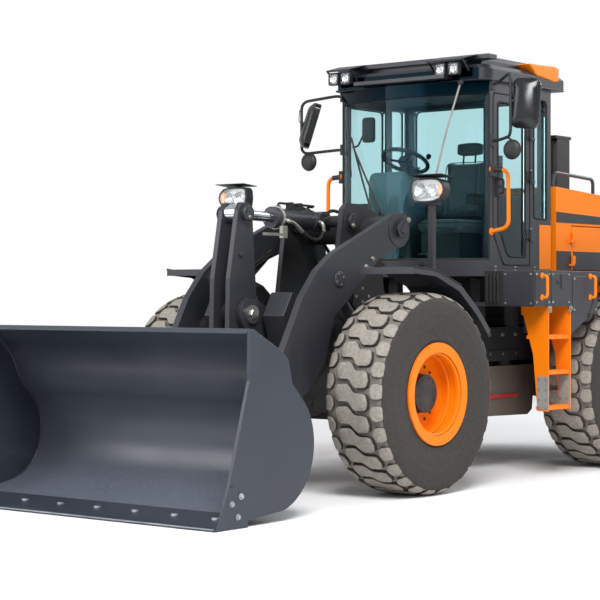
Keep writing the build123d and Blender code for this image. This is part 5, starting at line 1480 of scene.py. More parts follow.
def add_seal(mesh, outline, y, radius=0.007):
    corners = [(x, y, z) for x, z in outline]
    add_pipe(mesh, corners + corners[:1], radius, 0.05, 8)


def cab_seals():
    mesh = bmesh.new()
    for z in (GLASS_LOW + 0.006, GLASS_TOP - 0.006):
        add_pipe(mesh, [(bow_x(0.0728 * n, 0.008), 0.0728 * n, z) for n in range(-10, 11)], 0.01, 0.02, 8)
    quarter = [(-1.24, 2.08), (-1.037, 2.08), (-1.037, 3.065), (-1.24, 3.065)]
    for side in (1, -1):
        x = bow_x(0.728, 0.004)
        add_pipe(mesh, [(x, 0.728 * side, GLASS_LOW), (x, 0.728 * side, GLASS_TOP)], 0.009, 0.02, 8)
        add_seal(mesh, quarter, 0.7405 * side)
    add_seal(mesh, door_outline(-0.03), -0.7405)
    add_seal(mesh, door_outline(-0.002), 0.7405, 0.005)
    rear = [
        (-1.311, y, z)
        for y, z in ((-0.63, 2.29), (0.63, 2.29), (0.63, 3.065), (-0.63, 3.065), (-0.63, 2.29))
    ]
    add_pipe(mesh, rear, 0.009, 0.06, 8)
    piece("window_seals", mesh, "rear_frame", "black_plastic", SEAL)
    door = bmesh.new()
    add_seal(door, door_outline(-0.07), 0.7405)
    add_seal(door, door_outline(-0.07), 0.7025)
    piece("door_glass_seal", door, "cab_door", "black_plastic", SEAL)


def cab_fittings():
    arm = bmesh.new()
    pale = bmesh.new()
    top = Vector((bow_x(0.53) + 0.016, 0.53, 3.15))
    low = Vector((bow_x(0.335) + 0.03, 0.335, 2.4))
    add_turned(arm, cap(0.024, 0.02, 0.016, 0.028), top - FORWARD * 0.012, FORWARD, 20)
    add_pipe(pale, [top, top.lerp(low, 0.5) + FORWARD * 0.02, low], 0.0085, 0.1, 8)
    for y_top, z_top, y_low, z_low in ((-0.569, 2.766, -0.305, 2.135), (-0.526, 2.662, -0.179, 2.114)):
        ends = [
            Vector((bow_x(y) + 0.024, y, z))
            for y, z in ((y_top, z_top), ((y_top + y_low) / 2, (z_top + z_low) / 2), (y_low, z_low))
        ]
        add_pipe(arm, ends, 0.0085, 0.1, 8)
    add_turned(
        arm, [(0.0, 0), (0.026, 0), (0.026, 0.024), (0.0, 0.028)], (bow_x(-0.24) + 0.002, -0.24, 2.125),
        FORWARD, 20
    )
    blade = [
        Vector((bow_x(y) + 0.012, y, z))
        for y, z in ((-0.64, 3.02), (-0.628, 2.84), (-0.612, 2.66), (-0.59, 2.44))
    ]
    add_pipe(arm, blade, 0.01, 0.05, 8)
    for y in (-0.2, 0.2):
        add_box(arm, (bow_x(y) + 0.002, y - 0.02, 1.69), (bow_x(y) + 0.022, y + 0.02, 1.712))
    piece("wipers", arm, "rear_frame", "black_plastic", PLASTIC)
    piece("front_wiper_arm", pale, "rear_frame", "worn_steel", STRAP)
    handle = bmesh.new()
    add_pipe(
        handle,
        [(-0.474, 0.768, 2.262), (-0.474, 0.802, 2.27), (-0.474, 0.802, 2.372), (-0.474, 0.768, 2.38)],
        0.009, 0.02, 10
    )
    add_turned(handle, [(0.0, 0), (0.015, 0), (0.013, 0.01), (0.0, 0.01)], (-0.474, 0.77, 2.32), LEFT, 20)
    add_box(handle, (-0.5, 0.7402, 2.235), (-0.449, 0.744, 2.405))
    piece("door_handle", handle, "cab_door", "black_plastic", PLASTIC, bevel=0.001)
    inside = bmesh.new()
    add_pipe(
        inside, [(-0.53, 0.7, 2.3), (-0.53, 0.66, 2.31), (-0.86, 0.66, 2.31), (-0.86, 0.7, 2.3)], 0.012,
        0.03
    )
    piece("door_inner_rail", inside, "cab_door", "black_plastic", PLASTIC)
    bolts("door_hinge_caps", "cab_door", spots_at([-0.969], [0.756], (1.99, 2.47, 2.82), UP, 0.7), 0.011)
    spots = []
    for z in (1.645, 1.675):
        spots += [
            ((x, side * CAB_HALF, z), LEFT * side, 0.7)
            for x in (-0.45, -0.75, -1.05, -1.25)
            for side in (1, -1)
        ]
    bolts("cab_sill_bolts", "rear_frame", spots, 0.011)
    panel = bmesh.new()
    for side in (1, -1):
        add_side_plate(
            panel, [(-1.305, 1.66), (-1.125, 1.66), (-1.125, 2.03), (-1.305, 2.03)], 0.7402 * side,
            0.004 * side
        )
    piece("cab_corner_panels", panel, "rear_frame", "orange_paint", ORANGE, bevel=0.001)
    roof = bmesh.new()
    for side in (1, -1):
        outline = [
            (-0.93, 3.35), (-1.04, 3.262), (-1.335, 3.232), (-1.4, 3.24), (-1.4, 3.35), (-1.345, 3.362)
        ]
        add_slab(roof, outline, side * 0.38, side * 0.768)
    piece("roof_corner_caps", roof, "rear_frame", "orange_paint", ORANGE, bevel=0.012, segments=3)
    brow = bmesh.new()
    for low, high in ((-0.77, -0.47), (0.255, 0.64)):
        corners = [
            (-0.15, low + 0.03, 3.322), (-0.15, high - 0.02, 3.322), (-0.36, high, 3.372),
            (-0.36, low, 3.372)
        ]
        add_prism(brow, corners, UP, 0.006)
        add_prism(
            brow,
            [
                (-0.15, low + 0.03, 3.328), (-0.15, high - 0.02, 3.328), (-0.155, high - 0.03, 3.312),
                (-0.155, low + 0.04, 3.312)
            ],
            FORWARD, 0.004
        )
        for y in (low + 0.03, high - 0.03):
            add_pipe(brow, [(-0.16, y, 3.325), (-0.21, y, 3.29), (-0.28, y, 3.225)], 0.009, 0.03, 8)
        add_pipe(brow, [(-0.215, low + 0.02, 3.308), (-0.215, high - 0.02, 3.308)], 0.007, 0.02, 8)
    add_box(brow, (-0.45, -0.755, 3.335), (-0.33, 0.755, 3.372))
    piece("roof_lamp_visors", brow, "rear_frame", "charcoal_paint", ROOF_PAINT, bevel=0.001)
    band = bmesh.new()
    steps = [0.0735 * n for n in range(-10, 11)]
    low = [band.verts.new((bow_x(y, -0.0015), y, 3.05)) for y in steps]
    high = [band.verts.new((bow_x(y, -0.0015), y, 3.1595)) for y in steps]
    for n in range(len(steps) - 1):
        band.faces.new((low[n], low[n + 1], high[n + 1], high[n]))
    add_box(band, (-0.2645, -0.7, 3.168), (-0.26, 0.7, 3.262))
    piece("windscreen_shade_band", band, "rear_frame", "glass", TOP_BAND, angle=60)
    grips = bmesh.new()
    sleeves = bmesh.new()
    for side in (1, -1):
        x = -0.387
        path = [(x, 0.742, 2.452), (x, 0.9, 2.442), (x, 0.905, 1.985), (x, 0.742, 1.955)]
        add_pipe(grips, mirrored(path, side), 0.016, 0.07, 14)
        for z in (2.452, 1.955):
            add_disc(grips, (x, side * 0.7403, z), LEFT * side, 0.03, 0.01)
        add_pipe(sleeves, mirrored([(x, 0.742, 2.452), (x, 0.85, 2.445)], side), 0.021, 0.02, 14)
        add_box(sleeves, (x - 0.024, side * 0.7403, 2.395), (x + 0.024, side * 0.772, 2.5))
    made = piece("cab_grab_rails", grips, "rear_frame", "orange_paint", ORANGE)
    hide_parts("grab_rails")
    piece("grab_rail_brackets", sleeves, "rear_frame", "black_plastic", PLASTIC, bevel=0.003)
    trim = bmesh.new()
    z = ROOF_LOW + 0.006
    add_pipe(
        trim,
        [
            (-1.48, 0.762, z), (-0.3, 0.762, z), (-0.268, 0.7, z), (-0.268, -0.7, z), (-0.3, -0.762, z),
            (-1.48, -0.762, z)
        ],
        0.007, 0.12, 8
    )
    for y in (-0.4, -0.2, 0.0, 0.2, 0.4):
        add_box(trim, (-1.36, y - 0.014, 3.379), (-0.52, y + 0.014, 3.386))
    for n in range(9):
        add_box(trim, (-1.4885, -0.4 + n * 0.09, 3.19), (-1.4855, -0.335 + n * 0.09, 3.26))
    piece("roof_trim", trim, "rear_frame", "black_plastic", PLASTIC, bevel=0.002)
    liner = bmesh.new()
    add_box(liner, (-1.255, -0.69, 3.105), (-0.43, 0.69, 3.15))
    for x in (-0.62, -1.08):
        for y in (-0.35, 0.35):
            add_turned(
                liner, [(0.028, 0), (0.045, 0.003), (0.045, 0.01), (0.028, 0.012)], (x, y, 3.106), -UP, 20
            )
    piece("cab_headliner", liner, "rear_frame", "black_plastic", TRIM, bevel=0.015)


def add_lamp_shell(mesh, back, face, inner, places):
    """A lamp's housing: back, side, front rim and the recess behind its cover, at five places along X."""
    rings = []
    for outline, at in zip((back, face, face, inner, inner), places):
        rings.append([mesh.verts.new((at, a, b)) for a, b in outline])
    for first, second in zip(rings, rings[1:]):
        for n in range(len(face)):
            mesh.faces.new((first[n - 1], first[n], second[n], second[n - 1]))
    mesh.faces.new(rings[0])
    mesh.faces.new(rings[-1])


def work_lamps():
    shells = bmesh.new()
    shine = bmesh.new()
    covers = bmesh.new()
    z = 3.252
    places = [
        (-0.185, y, 1)
        for y in (-0.672, -0.548, 0.402, 0.53)
    ] + [(-1.515, y, -1) for y in (-0.5, 0.5)]
    for x, y, way in places:
        outlines = [
            rounded_face(y - h, y + h, z - h, z + h, c)
            for h, c in ((0.04, 0.01), (0.05, 0.012), (0.041, 0.008))
        ]
        add_lamp_shell(shells, *outlines, [x + way * a for a in (-0.028, -0.01, 0.03, 0.03, 0.006)])
        bowl = [
            (0.006, -0.016), (0.022, -0.013), (0.033, 0.0), (0.031, 0.001), (0.02, -0.01), (0.006, -0.013)
        ]
        add_turned(shine, bowl, (x + way * 0.024, y, z), FORWARD * way, 20)
        add_face_plate(covers, outlines[2], min(x + way * 0.024, x + way * 0.027), 0.003)
        far = -0.28 if way > 0 else -1.484
        add_box(shells, (far, y - 0.01, z - 0.01), (x - way * 0.026, y + 0.01, z + 0.01))
        add_box(shells, (x - way * 0.05, y - 0.022, z - 0.022), (x - way * 0.03, y + 0.022, z + 0.022))
    made = piece("work_lamp_housings", shells, "rear_frame", "lamp_housing", PLASTIC, bevel=0.0015)
    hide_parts("work_lights")
    piece("work_lamp_bowls", shine, "rear_frame", "lamp_housing", REFLECTOR)
    piece("work_lamp_covers", covers, "rear_frame", "glass", CLEAR)


# For each side: post, middle of the upper mirror, its toe and lean in degrees, lower mirror, post's ends
MIRROR_PLACES = {
    1: ((-0.215, 1.03, 0), (-0.28, 1.13, 2.945), 20, -4, (-0.215, 1.045, 2.585), 3.175, 2.69),
    -1: ((-0.29, -1.115, 0), (-0.255, -0.99, 2.89), -42, -17, (-0.285, -1.03, 2.585), 3.085, 2.655)
}


def mirrors():
    shells = bmesh.new()
    silver = bmesh.new()
    housings = bmesh.new()
    for side, (post, centre, toe, lean, low, top, foot) in MIRROR_PLACES.items():
        post = Vector(post)
        low = Vector(low)
        turned = Matrix.Rotation(math.radians(toe), 4, "Z")
        leaned = Matrix.Rotation(math.radians(lean), 4, Vector((0.86, 0.5, 0.1)))
        held = Matrix.Translation(centre) @ leaned @ turned
        outlines = [
            rounded_face(-0.07, 0.07, -0.15, 0.15, 0.06), rounded_face(-0.108, 0.108, -0.195, 0.195, 0.05),
            rounded_face(-0.099, 0.099, -0.186, 0.186, 0.045)
        ]
        head = bmesh.new()
        add_lamp_shell(head, *outlines, [0.055, 0.02, -0.03, -0.03, -0.022])
        bmesh.ops.transform(head, matrix=held, verts=head.verts)
        raw = bpy.data.meshes.new("mirror_head")
        head.to_mesh(raw)
        head.free()
        add_mesh(housings, raw)
        pane = [held @ Vector((-0.0245, a, b)) for a, b in outlines[2]]
        add_prism(silver, pane, held.to_3x3() @ FORWARD, 0.003)
        disc = [
            (0.0, 0.036), (0.046, 0.032), (0.07, 0.02), (0.079, 0.004), (0.079, -0.006), (0.073, -0.006),
            (0.073, 0.0), (0.0, 0.0)
        ]
        add_turned(shells, disc, low, FORWARD, 36)
        add_turned(
            silver, [(0.0, -0.01), (0.042, -0.008), (0.073, -0.002), (0.073, 0.001), (0.0, 0.001)], low,
            FORWARD, 36
        )
        pillar = Vector((-0.393, 0.757 * side, 0))
        bracket = [
            pillar + UP * 3.13, pillar + Vector((0.01, 0.05 * side, 3.14)), post + UP * (top + 0.015),
            post + UP * foot
        ]
        add_pipe(
            shells, bracket + [pillar + Vector((0.01, 0.05 * side, 2.68)), pillar + UP * 2.68], 0.0125,
            0.07, 12
        )
        for z in (3.13, 2.68):
            add_box(shells, (-0.417, side * 0.7404, z - 0.045), (-0.371, side * 0.7624, z + 0.045))
        near = held @ Vector((0.03, 0, 0.02))
        add_pipe(shells, [near, post + UP * near.z], 0.011, 0.02, 10)
        add_pipe(
            shells, [low, low + UP * 0.075 + FORWARD * 0.004, post.lerp(pillar, 0.3) + UP * (foot + 0.004)],
            0.008, 0.02, 8
        )
        add_pipe(
            shells,
            [
                post + UP * (top - 0.05) + LEFT * 0.02 * side, post + UP * 2.92 + LEFT * 0.035 * side,
                near + LEFT * 0.01 * side
            ],
            0.004, 0.08, 6
        )
    made = piece("mirror_housings", shells, "rear_frame", "black_plastic", PLASTIC, bevel=0.003)
    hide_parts("mirrors")
    piece("mirror_shells", housings, "rear_frame", "black_plastic", HOUSING, angle=50)
    piece("mirror_glasses", silver, "rear_frame", "glass", MIRROR)


def cab_interior():
    wheel = bmesh.new()
    axis = Vector((-0.45, 0, 0.893))
    top = Vector((-0.42, -0.118, 2.56))
    grip = [
        (0.19 + 0.0175 * math.cos(a), 0.0175 * math.sin(a))
        for a in [math.tau * n / 12 for n in range(12)]
    ]
    add_turned(wheel, grip, top, axis, 64)
    add_turned(
        wheel, [(0.0, 0.02), (0.05, 0.019), (0.056, 0.01), (0.056, -0.03), (0.0, -0.03)], top, axis, 32
    )
    add_turned(
        wheel, [(0.0, 0.055), (0.018, 0.052), (0.022, 0.036), (0.014, 0.014), (0.0, 0.012)],
        top + LEFT * 0.18 - FORWARD * 0.06, axis, 20
    )
    for angle in (0.35, 2.4, 4.5):
        arm = frame_along(axis) @ Vector((math.cos(angle), math.sin(angle), 0))
        add_pipe(
            wheel, [top + arm * 0.05 - axis * 0.01, top + arm * 0.1 - axis * 0.012, top + arm * 0.188],
            0.011, 0.05, 8
        )
    foot = Vector((-0.3, -0.06, 2.1))
    add_pipe(wheel, [top - axis * 0.02, foot.lerp(top, 0.45), foot, (-0.295, 0, 1.66)], 0.04, 0.1, 14)
    add_pipe(
        wheel, [top - axis * 0.07, top - axis * 0.08 + LEFT * 0.13, top - axis * 0.075 + LEFT * 0.17],
        0.008, 0.03, 8
    )
    made = piece("steering_wheel_grip", wheel, "rear_frame", "black_plastic", SEAL)
    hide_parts("steering_column")
    dash = bmesh.new()
    shelf = bmesh.new()
    add_side_plate(
        shelf, [(-0.25, 2.05), (-0.24, 2.38), (-0.275, 2.455), (-0.345, 2.47), (-0.39, 2.4), (-0.37, 2.06)],
        -0.375, 0.33
    )
    add_side_plate(shelf, [(-0.26, 1.65), (-0.25, 2.06), (-0.33, 2.06), (-0.32, 1.65)], -0.3, 0.2)
    piece("dash_housing", shelf, "rear_frame", "black_plastic", DASH, bevel=0.025, segments=4)
    for y in (-0.3, -0.14):
        add_turned(
            dash, [(0.03, 0), (0.05, 0), (0.05, 0.01), (0.032, 0.012)], (-0.388, y, 2.33), -FORWARD, 24
        )
    add_box(dash, (-0.47, -0.64, 2.1), (-0.445, -0.46, 2.22))
    add_pipe(dash, [(-0.455, -0.55, 2.11), (-0.43, -0.62, 2.02), (-0.42, -0.7, 2.0)], 0.012, 0.05)
    for y in (-0.11, 0.11):
        add_side_plate(dash, [(-0.42, 1.7), (-0.4, 1.69), (-0.32, 1.78), (-0.335, 1.79)], y - 0.035, 0.07)
        add_pipe(dash, [(-0.37, y, 1.745), (-0.33, y, 1.7), (-0.31, y, 1.642)], 0.01, 0.04)
    for x, y in ((-0.745, -0.5), (-0.8, -0.43), (-0.7, -0.43)):
        add_turned(
            dash,
            [(0.045, 0), (0.04, 0.012), (0.03, 0.022), (0.024, 0.035), (0.014, 0.048), (0.012, 0.048)],
            (x, y, 2.2), UP, 20
        )
        add_pipe(dash, [(x, y, 2.22), (x + 0.004, y, 2.33)], 0.008, 0.02)
        add_turned(
            dash, [(0.0, 0.085), (0.014, 0.08), (0.02, 0.06), (0.017, 0.02), (0.01, 0.0), (0.0, 0.0)],
            (x + 0.004, y, 2.3), UP, 16
        )
    add_pipe(dash, [(-0.42, 0.66, 1.66), (-0.42, 0.66, 2.98)], 0.012, 0.02)
    x = bow_x(0.45, 0.1)
    add_pipe(dash, [(-0.42, -0.66, 2.7), (x, -0.56, 2.7), (x, -0.5, 2.8)], 0.008, 0.03)
    outlines = [
        rounded_face(-0.45 - h, -0.45 + h, 2.83 - v, 2.83 + v, 0.03)
        for h, v in ((0.05, 0.09), (0.062, 0.105), (0.054, 0.096))
    ]
    add_lamp_shell(dash, *outlines, [x + a for a in (0.02, 0.008, -0.012, -0.012, -0.008)])
    piece("cab_controls", dash, "rear_frame", "black_plastic", PLASTIC, bevel=0.003)
    glass = bmesh.new()
    add_face_plate(glass, outlines[2], x - 0.01, 0.002)
    piece("inner_mirror_glass", glass, "rear_frame", "glass", MIRROR)
    faces = bmesh.new()
    add_box(faces, (-0.4715, -0.63, 2.11), (-0.4695, -0.47, 2.21))
    for y in (-0.3, -0.14):
        add_disc(faces, (-0.392, y, 2.33), -FORWARD, 0.031, 0.004)
    piece("cab_displays", faces, "rear_frame", "black_plastic", SCREEN)
    mat = bmesh.new()
    add_box(mat, (-1.24, -0.66, 1.6404), (-0.4, 0.66, 1.6424))
    rib = bmesh.new()
    add_box(rib, (0, 0, 0), (0.012, 0.9, 0.004))
    rows_of(mat, rib, (-0.7, -0.32, 1.6424), 12, (0.026, 0, 0), material=SEAL)
    piece("cab_floor_mat", mat, "rear_frame", "black_plastic", SEAL)
    belt = bmesh.new()
    add_side_plate(belt, [(-1.1, 2.03), (-1.02, 2.03), (-1.0, 2.13), (-1.05, 2.15)], -0.262, 0.006)
    for side in (1, -1):
        add_box(belt, (SEAT_X - 0.145, side * 0.262, 2.2605), (SEAT_X + 0.185, side * 0.326, 2.29))
    piece("seat_arm_pads", belt, "rear_frame", "black_plastic", SEAL, bevel=0.01, segments=3)
    bellows = bmesh.new()
    folds = []
    for n in range(9):
        folds += [(0.15 - 0.004 * n, 0.022 * n), (0.172 - 0.004 * n, 0.022 * n + 0.011)]
    folds = [(0.0, 0.0)] + folds + [(0.12, 0.2), (0.0, 0.2)]
    add_turned(bellows, folds, (SEAT_X, 0, 1.76), UP, 4)
    piece("seat_suspension_bellows", bellows, "rear_frame", "black_plastic", SEAL, bevel=0.004)


FOAM_VOXEL = 0.006
FOAM_PRESSURE = 4.0
CLOTH_FRAMES = 20
COVER_TRAVEL = 0.024
SEAM_DEPTH = 0.01
SEAM_WIDTH = 0.045
CHANNEL_DEPTH = 0.006
CHANNEL_WIDTH = 0.022


def pulled_in(mesh, centre, half, pull):
    """Rounds a padded box: the sides pull in toward its corners and the middle stands proud."""
    for vertex in mesh.verts:
        share = [(vertex.co[a] - centre[a]) / half[a] for a in range(3)]
        for a in range(3):
            b, c = (a + 1) % 3, (a + 2) % 3
            vertex.co[a] -= pull * share[a] * max(share[b] ** 2, share[c] ** 2)


def cushion(low, high, lean, panels):
    """One padded seat part: foam under cloth, blown up a little by simulation, then its sewn channels."""
    mesh = bmesh.new()
    add_box(mesh, low, high)
    bmesh.ops.subdivide_edges(mesh, edges=mesh.edges, cuts=11, use_grid_fill=True)
    centre = [(a + b) / 2 for a, b in zip(low, high)]
    half = [(b - a) / 2 for a, b in zip(low, high)]
    pulled_in(mesh, centre, half, 0.014)
    raw = bpy.data.meshes.new("foam_block")
    mesh.to_mesh(raw)
    mesh.free()
    foam = bpy.data.objects.new("foam_block", raw)
    bpy.context.scene.collection.objects.link(foam)
    remesh = foam.modifiers.new("even", "REMESH")
    remesh.mode = "VOXEL"
    remesh.voxel_size = FOAM_VOXEL
    even = bpy.data.meshes.new_from_object(foam.evaluated_get(bpy.context.evaluated_depsgraph_get()))
    foam.modifiers.clear()
    foam.data = even
    rest = [vertex.co.copy() for vertex in even.vertices]
    cloth = foam.modifiers.new("cover", "CLOTH")
    cloth.settings.use_pressure = True
    cloth.settings.uniform_pressure_force = FOAM_PRESSURE
    cloth.settings.effector_weights.gravity = 0.0
    cloth.settings.quality = 4
    for step in range(1, CLOTH_FRAMES + 1):
        bpy.context.scene.frame_set(step)
    blown = foam.evaluated_get(bpy.context.evaluated_depsgraph_get()).data
    moved = [vertex.co.copy() for vertex in blown.vertices]
    bpy.context.scene.frame_set(1)
    bpy.data.objects.remove(foam)
    for vertex, start, end in zip(even.vertices, rest, moved):
        travel = end - start
        vertex.co = start + travel * min(1.0, COVER_TRAVEL / max(travel.length, 1e-6))
    mesh = bmesh.new()
    mesh.from_mesh(even)
    for vertex in mesh.verts:
        share = (vertex.co.y - centre[1]) / half[1]
        height = (vertex.co.z - low[2]) / (high[2] - low[2])
        for seam in panels:
            for place in (seam, -seam):
                vertex.co.x -= lean * SEAM_DEPTH * math.exp(-((share - place) / SEAM_WIDTH) ** 2)
        if lean:
            for n in range(1, 6):
                vertex.co.x -= CHANNEL_DEPTH * math.exp(
                    -((height - n / 6) / CHANNEL_WIDTH) ** 2
                ) * (abs(share) < max(panels))
    return mesh


def seat_cushions():
    parts = [
        cushion((-1.15, -0.232, 1.985), (-0.715, 0.232, 2.066), 0, (0.62,)),
        cushion((-0.05, -0.222, 0.02), (0.05, 0.222, 0.52), 1, (0.62,)),
        cushion((-0.04, -0.125, 0.565), (0.045, 0.125, 0.68), 1, (2.0,))
    ]
    tilt = Matrix.Translation((-1.125, 0, 2.0804)) @ Matrix.Rotation(math.radians(-7.6), 4, "Y")
    for mesh in parts[1:]:
        bmesh.ops.transform(mesh, matrix=tilt, verts=mesh.verts)
    names = ("seat_base_cushion", "seat_back_cushion", "seat_head_cushion")
    for name, mesh in zip(names, parts):
        made = piece(name, mesh, "rear_frame", "seat_fabric", CLOTH, angle=60)
        smooth = made.modifiers.new("smooth", "SUBSURF")
        smooth.levels = smooth.render_levels = 1
        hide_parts("seat_cushions")
    piping = bmesh.new()
    outline = [(-1.15, -0.235), (-0.71, -0.235), (-0.71, 0.235), (-1.15, 0.235), (-1.15, -0.235)]
    add_pipe(piping, [(x, y, 2.052) for x, y in outline], 0.004, 0.06, 8)
    add_pipe(
        piping,
        [tilt @ Vector((0.047, y, z)) for y, z in ((-0.2, 0.04), (-0.2, 0.5), (0.2, 0.5), (0.2, 0.04))],
        0.004, 0.06, 8
    )
    for y in (-0.06, 0.06):
        add_pipe(piping, [tilt @ Vector((0, y, 0.5)), tilt @ Vector((0, y, 0.6))], 0.008, 0.02, 8)
    piece("seat_piping", piping, "rear_frame", "seat_fabric", SEAL)


# Engine cover and rear end

def louvre():
    slat = bmesh.new()
    add_prism(slat, [(0, 0, 0), (0, 0.004, 0.002), (0, 0.004, 0.012), (0, 0, 0.014)], FORWARD, 0.26)
    return slat


def hood_details():
    for side, way in SIDES.items():
        y = HOOD_HALF * way
        face = y + way * 0.0003
        stripe = bmesh.new()
        band = [(HOOD_BACK + 0.035, 2.06), (-1.384, 2.06), (-1.384, 2.15), (HOOD_BACK + 0.035, 2.088)]
        low = [(HOOD_BACK + 0.01, 1.53), (-1.384, 1.53), (-1.384, 1.648), (HOOD_BACK + 0.01, 1.648)]
        front = [(-1.625, 1.655), (-1.384, 1.655), (-1.384, 1.82), (-1.625, 1.82)]
        for outline in (band, low, front):
            add_side_plate(stripe, outline, face, way * 0.003)
        piece(f"hood_side_bands_{side}", stripe, "rear_frame", "black_plastic", DARK_STRIPE, bevel=0.001)
        door = bmesh.new()
        add_side_plate(
            door, [(-3.24, 1.663), (-1.66, 1.663), (-1.66, 1.82), (-3.24, 1.82)], face, way * 0.003
        )
        rows_of(
            door, louvre(), (-3.06, y + (0 if way > 0 else -0.004), 1.865), 2, (0.3, 0, 0), 5, (0, 0, 0.03),
            DARK_STRIPE
        )
        piece(
            f"hood_door_panel_{side}", door, f"hood_door_{side}", "black_plastic", DARK_STRIPE, bevel=0.001
        )
        latch = bmesh.new()
        outline = [(r * 0.045 - 3.16, s * 0.028 + 1.96) for r, s in ((-1, -1), (1, -1), (1, 1), (-1, 1))]
        add_side_plate(latch, outline, face, way * 0.004)
        grip = ((-3.19, 0.004), (-3.185, 0.014), (-3.135, 0.014), (-3.13, 0.004))
        add_pipe(latch, [(x, y + way * out, 1.96) for x, out in grip], 0.004, 0.01, 8)
        piece(f"hood_door_latch_{side}", latch, f"hood_door_{side}", "worn_steel", ZINC, bevel=0.001)
        feet = bmesh.new()
        for x, z in ((-1.47, 2.358), (-2.16, 2.318)):
            add_turned(
                feet, [(0.015, 0.0), (0.032, 0.0), (0.032, 0.006), (0.02, 0.012), (0.015, 0.012)],
                (x, 0.66 * way, z), UP, 20
            )
        piece(f"hood_rail_feet_{side}", feet, "rear_frame", "charcoal_paint", CHARCOAL)
    top = bmesh.new()
    add_box(top, (-3.05, -0.42, 2.287), (-2.45, 0.42, 2.298))
    rows_of(top, louvre(), (-1.95, -0.3, 2.339), 1, (0, 0, 0), 8, (0, 0.05, 0), DARK_STRIPE)
    piece("hood_top_panels", top, "rear_frame", "black_plastic", DARK_STRIPE, bevel=0.004)
    pipe = bmesh.new()
    stack = [
        (0.0, 0.0), (0.052, 0.0), (0.055, 0.01), (0.05, 0.02), (0.05, 0.28), (0.046, 0.3), (0.046, 0.42),
        (0.042, 0.42), (0.042, 0.1), (0.0, 0.1)
    ]
    add_turned(pipe, stack, (-2.28, -0.4, 2.305), UP, 32)
    piece("exhaust_stack", pipe, "rear_frame", "worn_steel", CAST)
    screen = bmesh.new()
    add_box(screen, (-2.093, 0.327, 2.812), (-1.827, 0.4835, 2.838))
    add_turned(
        screen, [(0.0, 0), (0.012, 0), (0.01, 0.006), (0.0, 0.007)], (-1.8295, 0.41, 2.66), FORWARD, 16
    )
    piece("duct_rim", screen, "rear_frame", "black_plastic", PLASTIC, bevel=0.004)


def rear_details():
    core = bmesh.new()
    add_box(core, (HOOD_BACK + 0.09, -0.545, 1.6), (HOOD_BACK + 0.15, 0.545, 1.96))
    fin = bmesh.new()
    add_box(fin, (0, 0, 0), (0.004, 0.004, 0.35))
    rows_of(core, fin, (HOOD_BACK + 0.0865, -0.54, 1.605), 1, (0, 0, 0), 91, (0, 0.012, 0), CAST)
    piece("radiator_core", core, "rear_frame", "worn_steel", CAST)
    latch = bmesh.new()
    add_box(latch, (HOOD_BACK - 0.014, -0.535, 1.72), (HOOD_BACK - 0.0005, -0.505, 1.84))
    piece("rear_grille_latch", latch, "rear_grille", "black_plastic", PLASTIC, bevel=0.003)
    lenses = {
        "red": (bmesh.new(), RED_LENS), "amber": (bmesh.new(), AMBER), "white": (bmesh.new(), WHITE_LENS)
    }
    for side in (1, -1):
        for tint, y, width in (("red", 0.77, 0.042), ("amber", 0.816, 0.026), ("white", 0.846, 0.016)):
            add_box(lenses[tint][0], (-3.46, side * y, 1.522), (-3.4548, side * (y + width), 1.615))
        add_box(
            lenses["red"][0], (REAR_END - 0.004, side * 0.52, 1.1), (REAR_END - 0.0003, side * 0.62, 1.15)
        )
    for tint, (mesh, material) in lenses.items():
        piece(f"{tint}_rear_lenses", mesh, "rear_frame", "lamp_housing", material, bevel=0.002)
    tow = bmesh.new()
    add_turned(tow, [(0.0, 0.0), (0.019, 0.0), (0.019, 0.34), (0.0, 0.34)], (-3.53, 0, 0.64), UP, 24)
    add_turned(tow, [(0.019, 0.0), (0.036, 0.0), (0.036, 0.012), (0.019, 0.012)], (-3.53, 0, 0.976), UP, 24)
    add_pipe(
        tow, [(-3.53, -0.018, 0.986), (-3.53, -0.03, 1.03), (-3.53, 0.03, 1.03), (-3.53, 0.018, 0.986)],
        0.006, 0.02, 8
    )
    piece("tow_pin", tow, "rear_frame", "worn_steel", PIN_STEEL)
    plate = bmesh.new()
    add_box(plate, (REAR_END - 0.006, -0.26, 1.26), (REAR_END - 0.0004, 0.26, 1.38))
    piece("blank_number_plate", plate, "rear_frame", "lamp_housing", TRIM, bevel=0.002)
    spots = spots_at([REAR_END], (-0.6, -0.4, 0.4, 0.6), (0.8, 1.3), -FORWARD, 1.6)
    for side in (1, -1):
        spots += spots_at((-3.25, -3.05), [side * 0.9], (0.8, 1.3), LEFT * side, 1.4)
    bolts("counterweight_bolts", "rear_frame", spots, 0.016, CAST)
    engine = bmesh.new()
    for n in range(4):
        add_turned(
            engine, [(0.0, 0), (0.055, 0), (0.06, 0.01), (0.06, 0.035), (0.0, 0.045)],
            (-2.65 + n * 0.25, 0.2, 1.9355), UP, 24
        )
    add_pipe(engine, [(-2.75, -0.2, 1.96), (-1.8, -0.2, 1.96)], 0.045, 0.05, 16)
    add_turned(
        engine, [(0.0, 0), (0.28, 0), (0.29, 0.02), (0.29, 0.03), (0.0, 0.03)], (-2.886, 0, 1.62), -FORWARD,
        40
    )
    for n in range(7):
        turn = Matrix.Translation((-2.93, 0, 1.62)) @ Matrix.Rotation(math.tau * n / 7, 4, "X")
        corners = [(0, 0.05, -0.04), (0.03, 0.05, 0.04), (0.035, 0.26, 0.07), (-0.005, 0.26, -0.06)]
        add_prism(engine, [turn @ Vector(corner) for corner in corners], -FORWARD, 0.004)
    piece("engine_fittings", engine, "rear_frame", "charcoal_paint", CAST, bevel=0.002)
    under = bmesh.new()
    add_box(under, (-3.05, -0.36, 0.86), (-2.12, 0.36, 0.885))
    for x in (-2.9, -2.6, -2.3):
        add_box(under, (x - 0.02, -0.34, 0.885), (x + 0.02, 0.34, 0.9))
    piece("belly_plate", under, "rear_frame", "charcoal_paint", FRAME_PAINT, bevel=0.003)


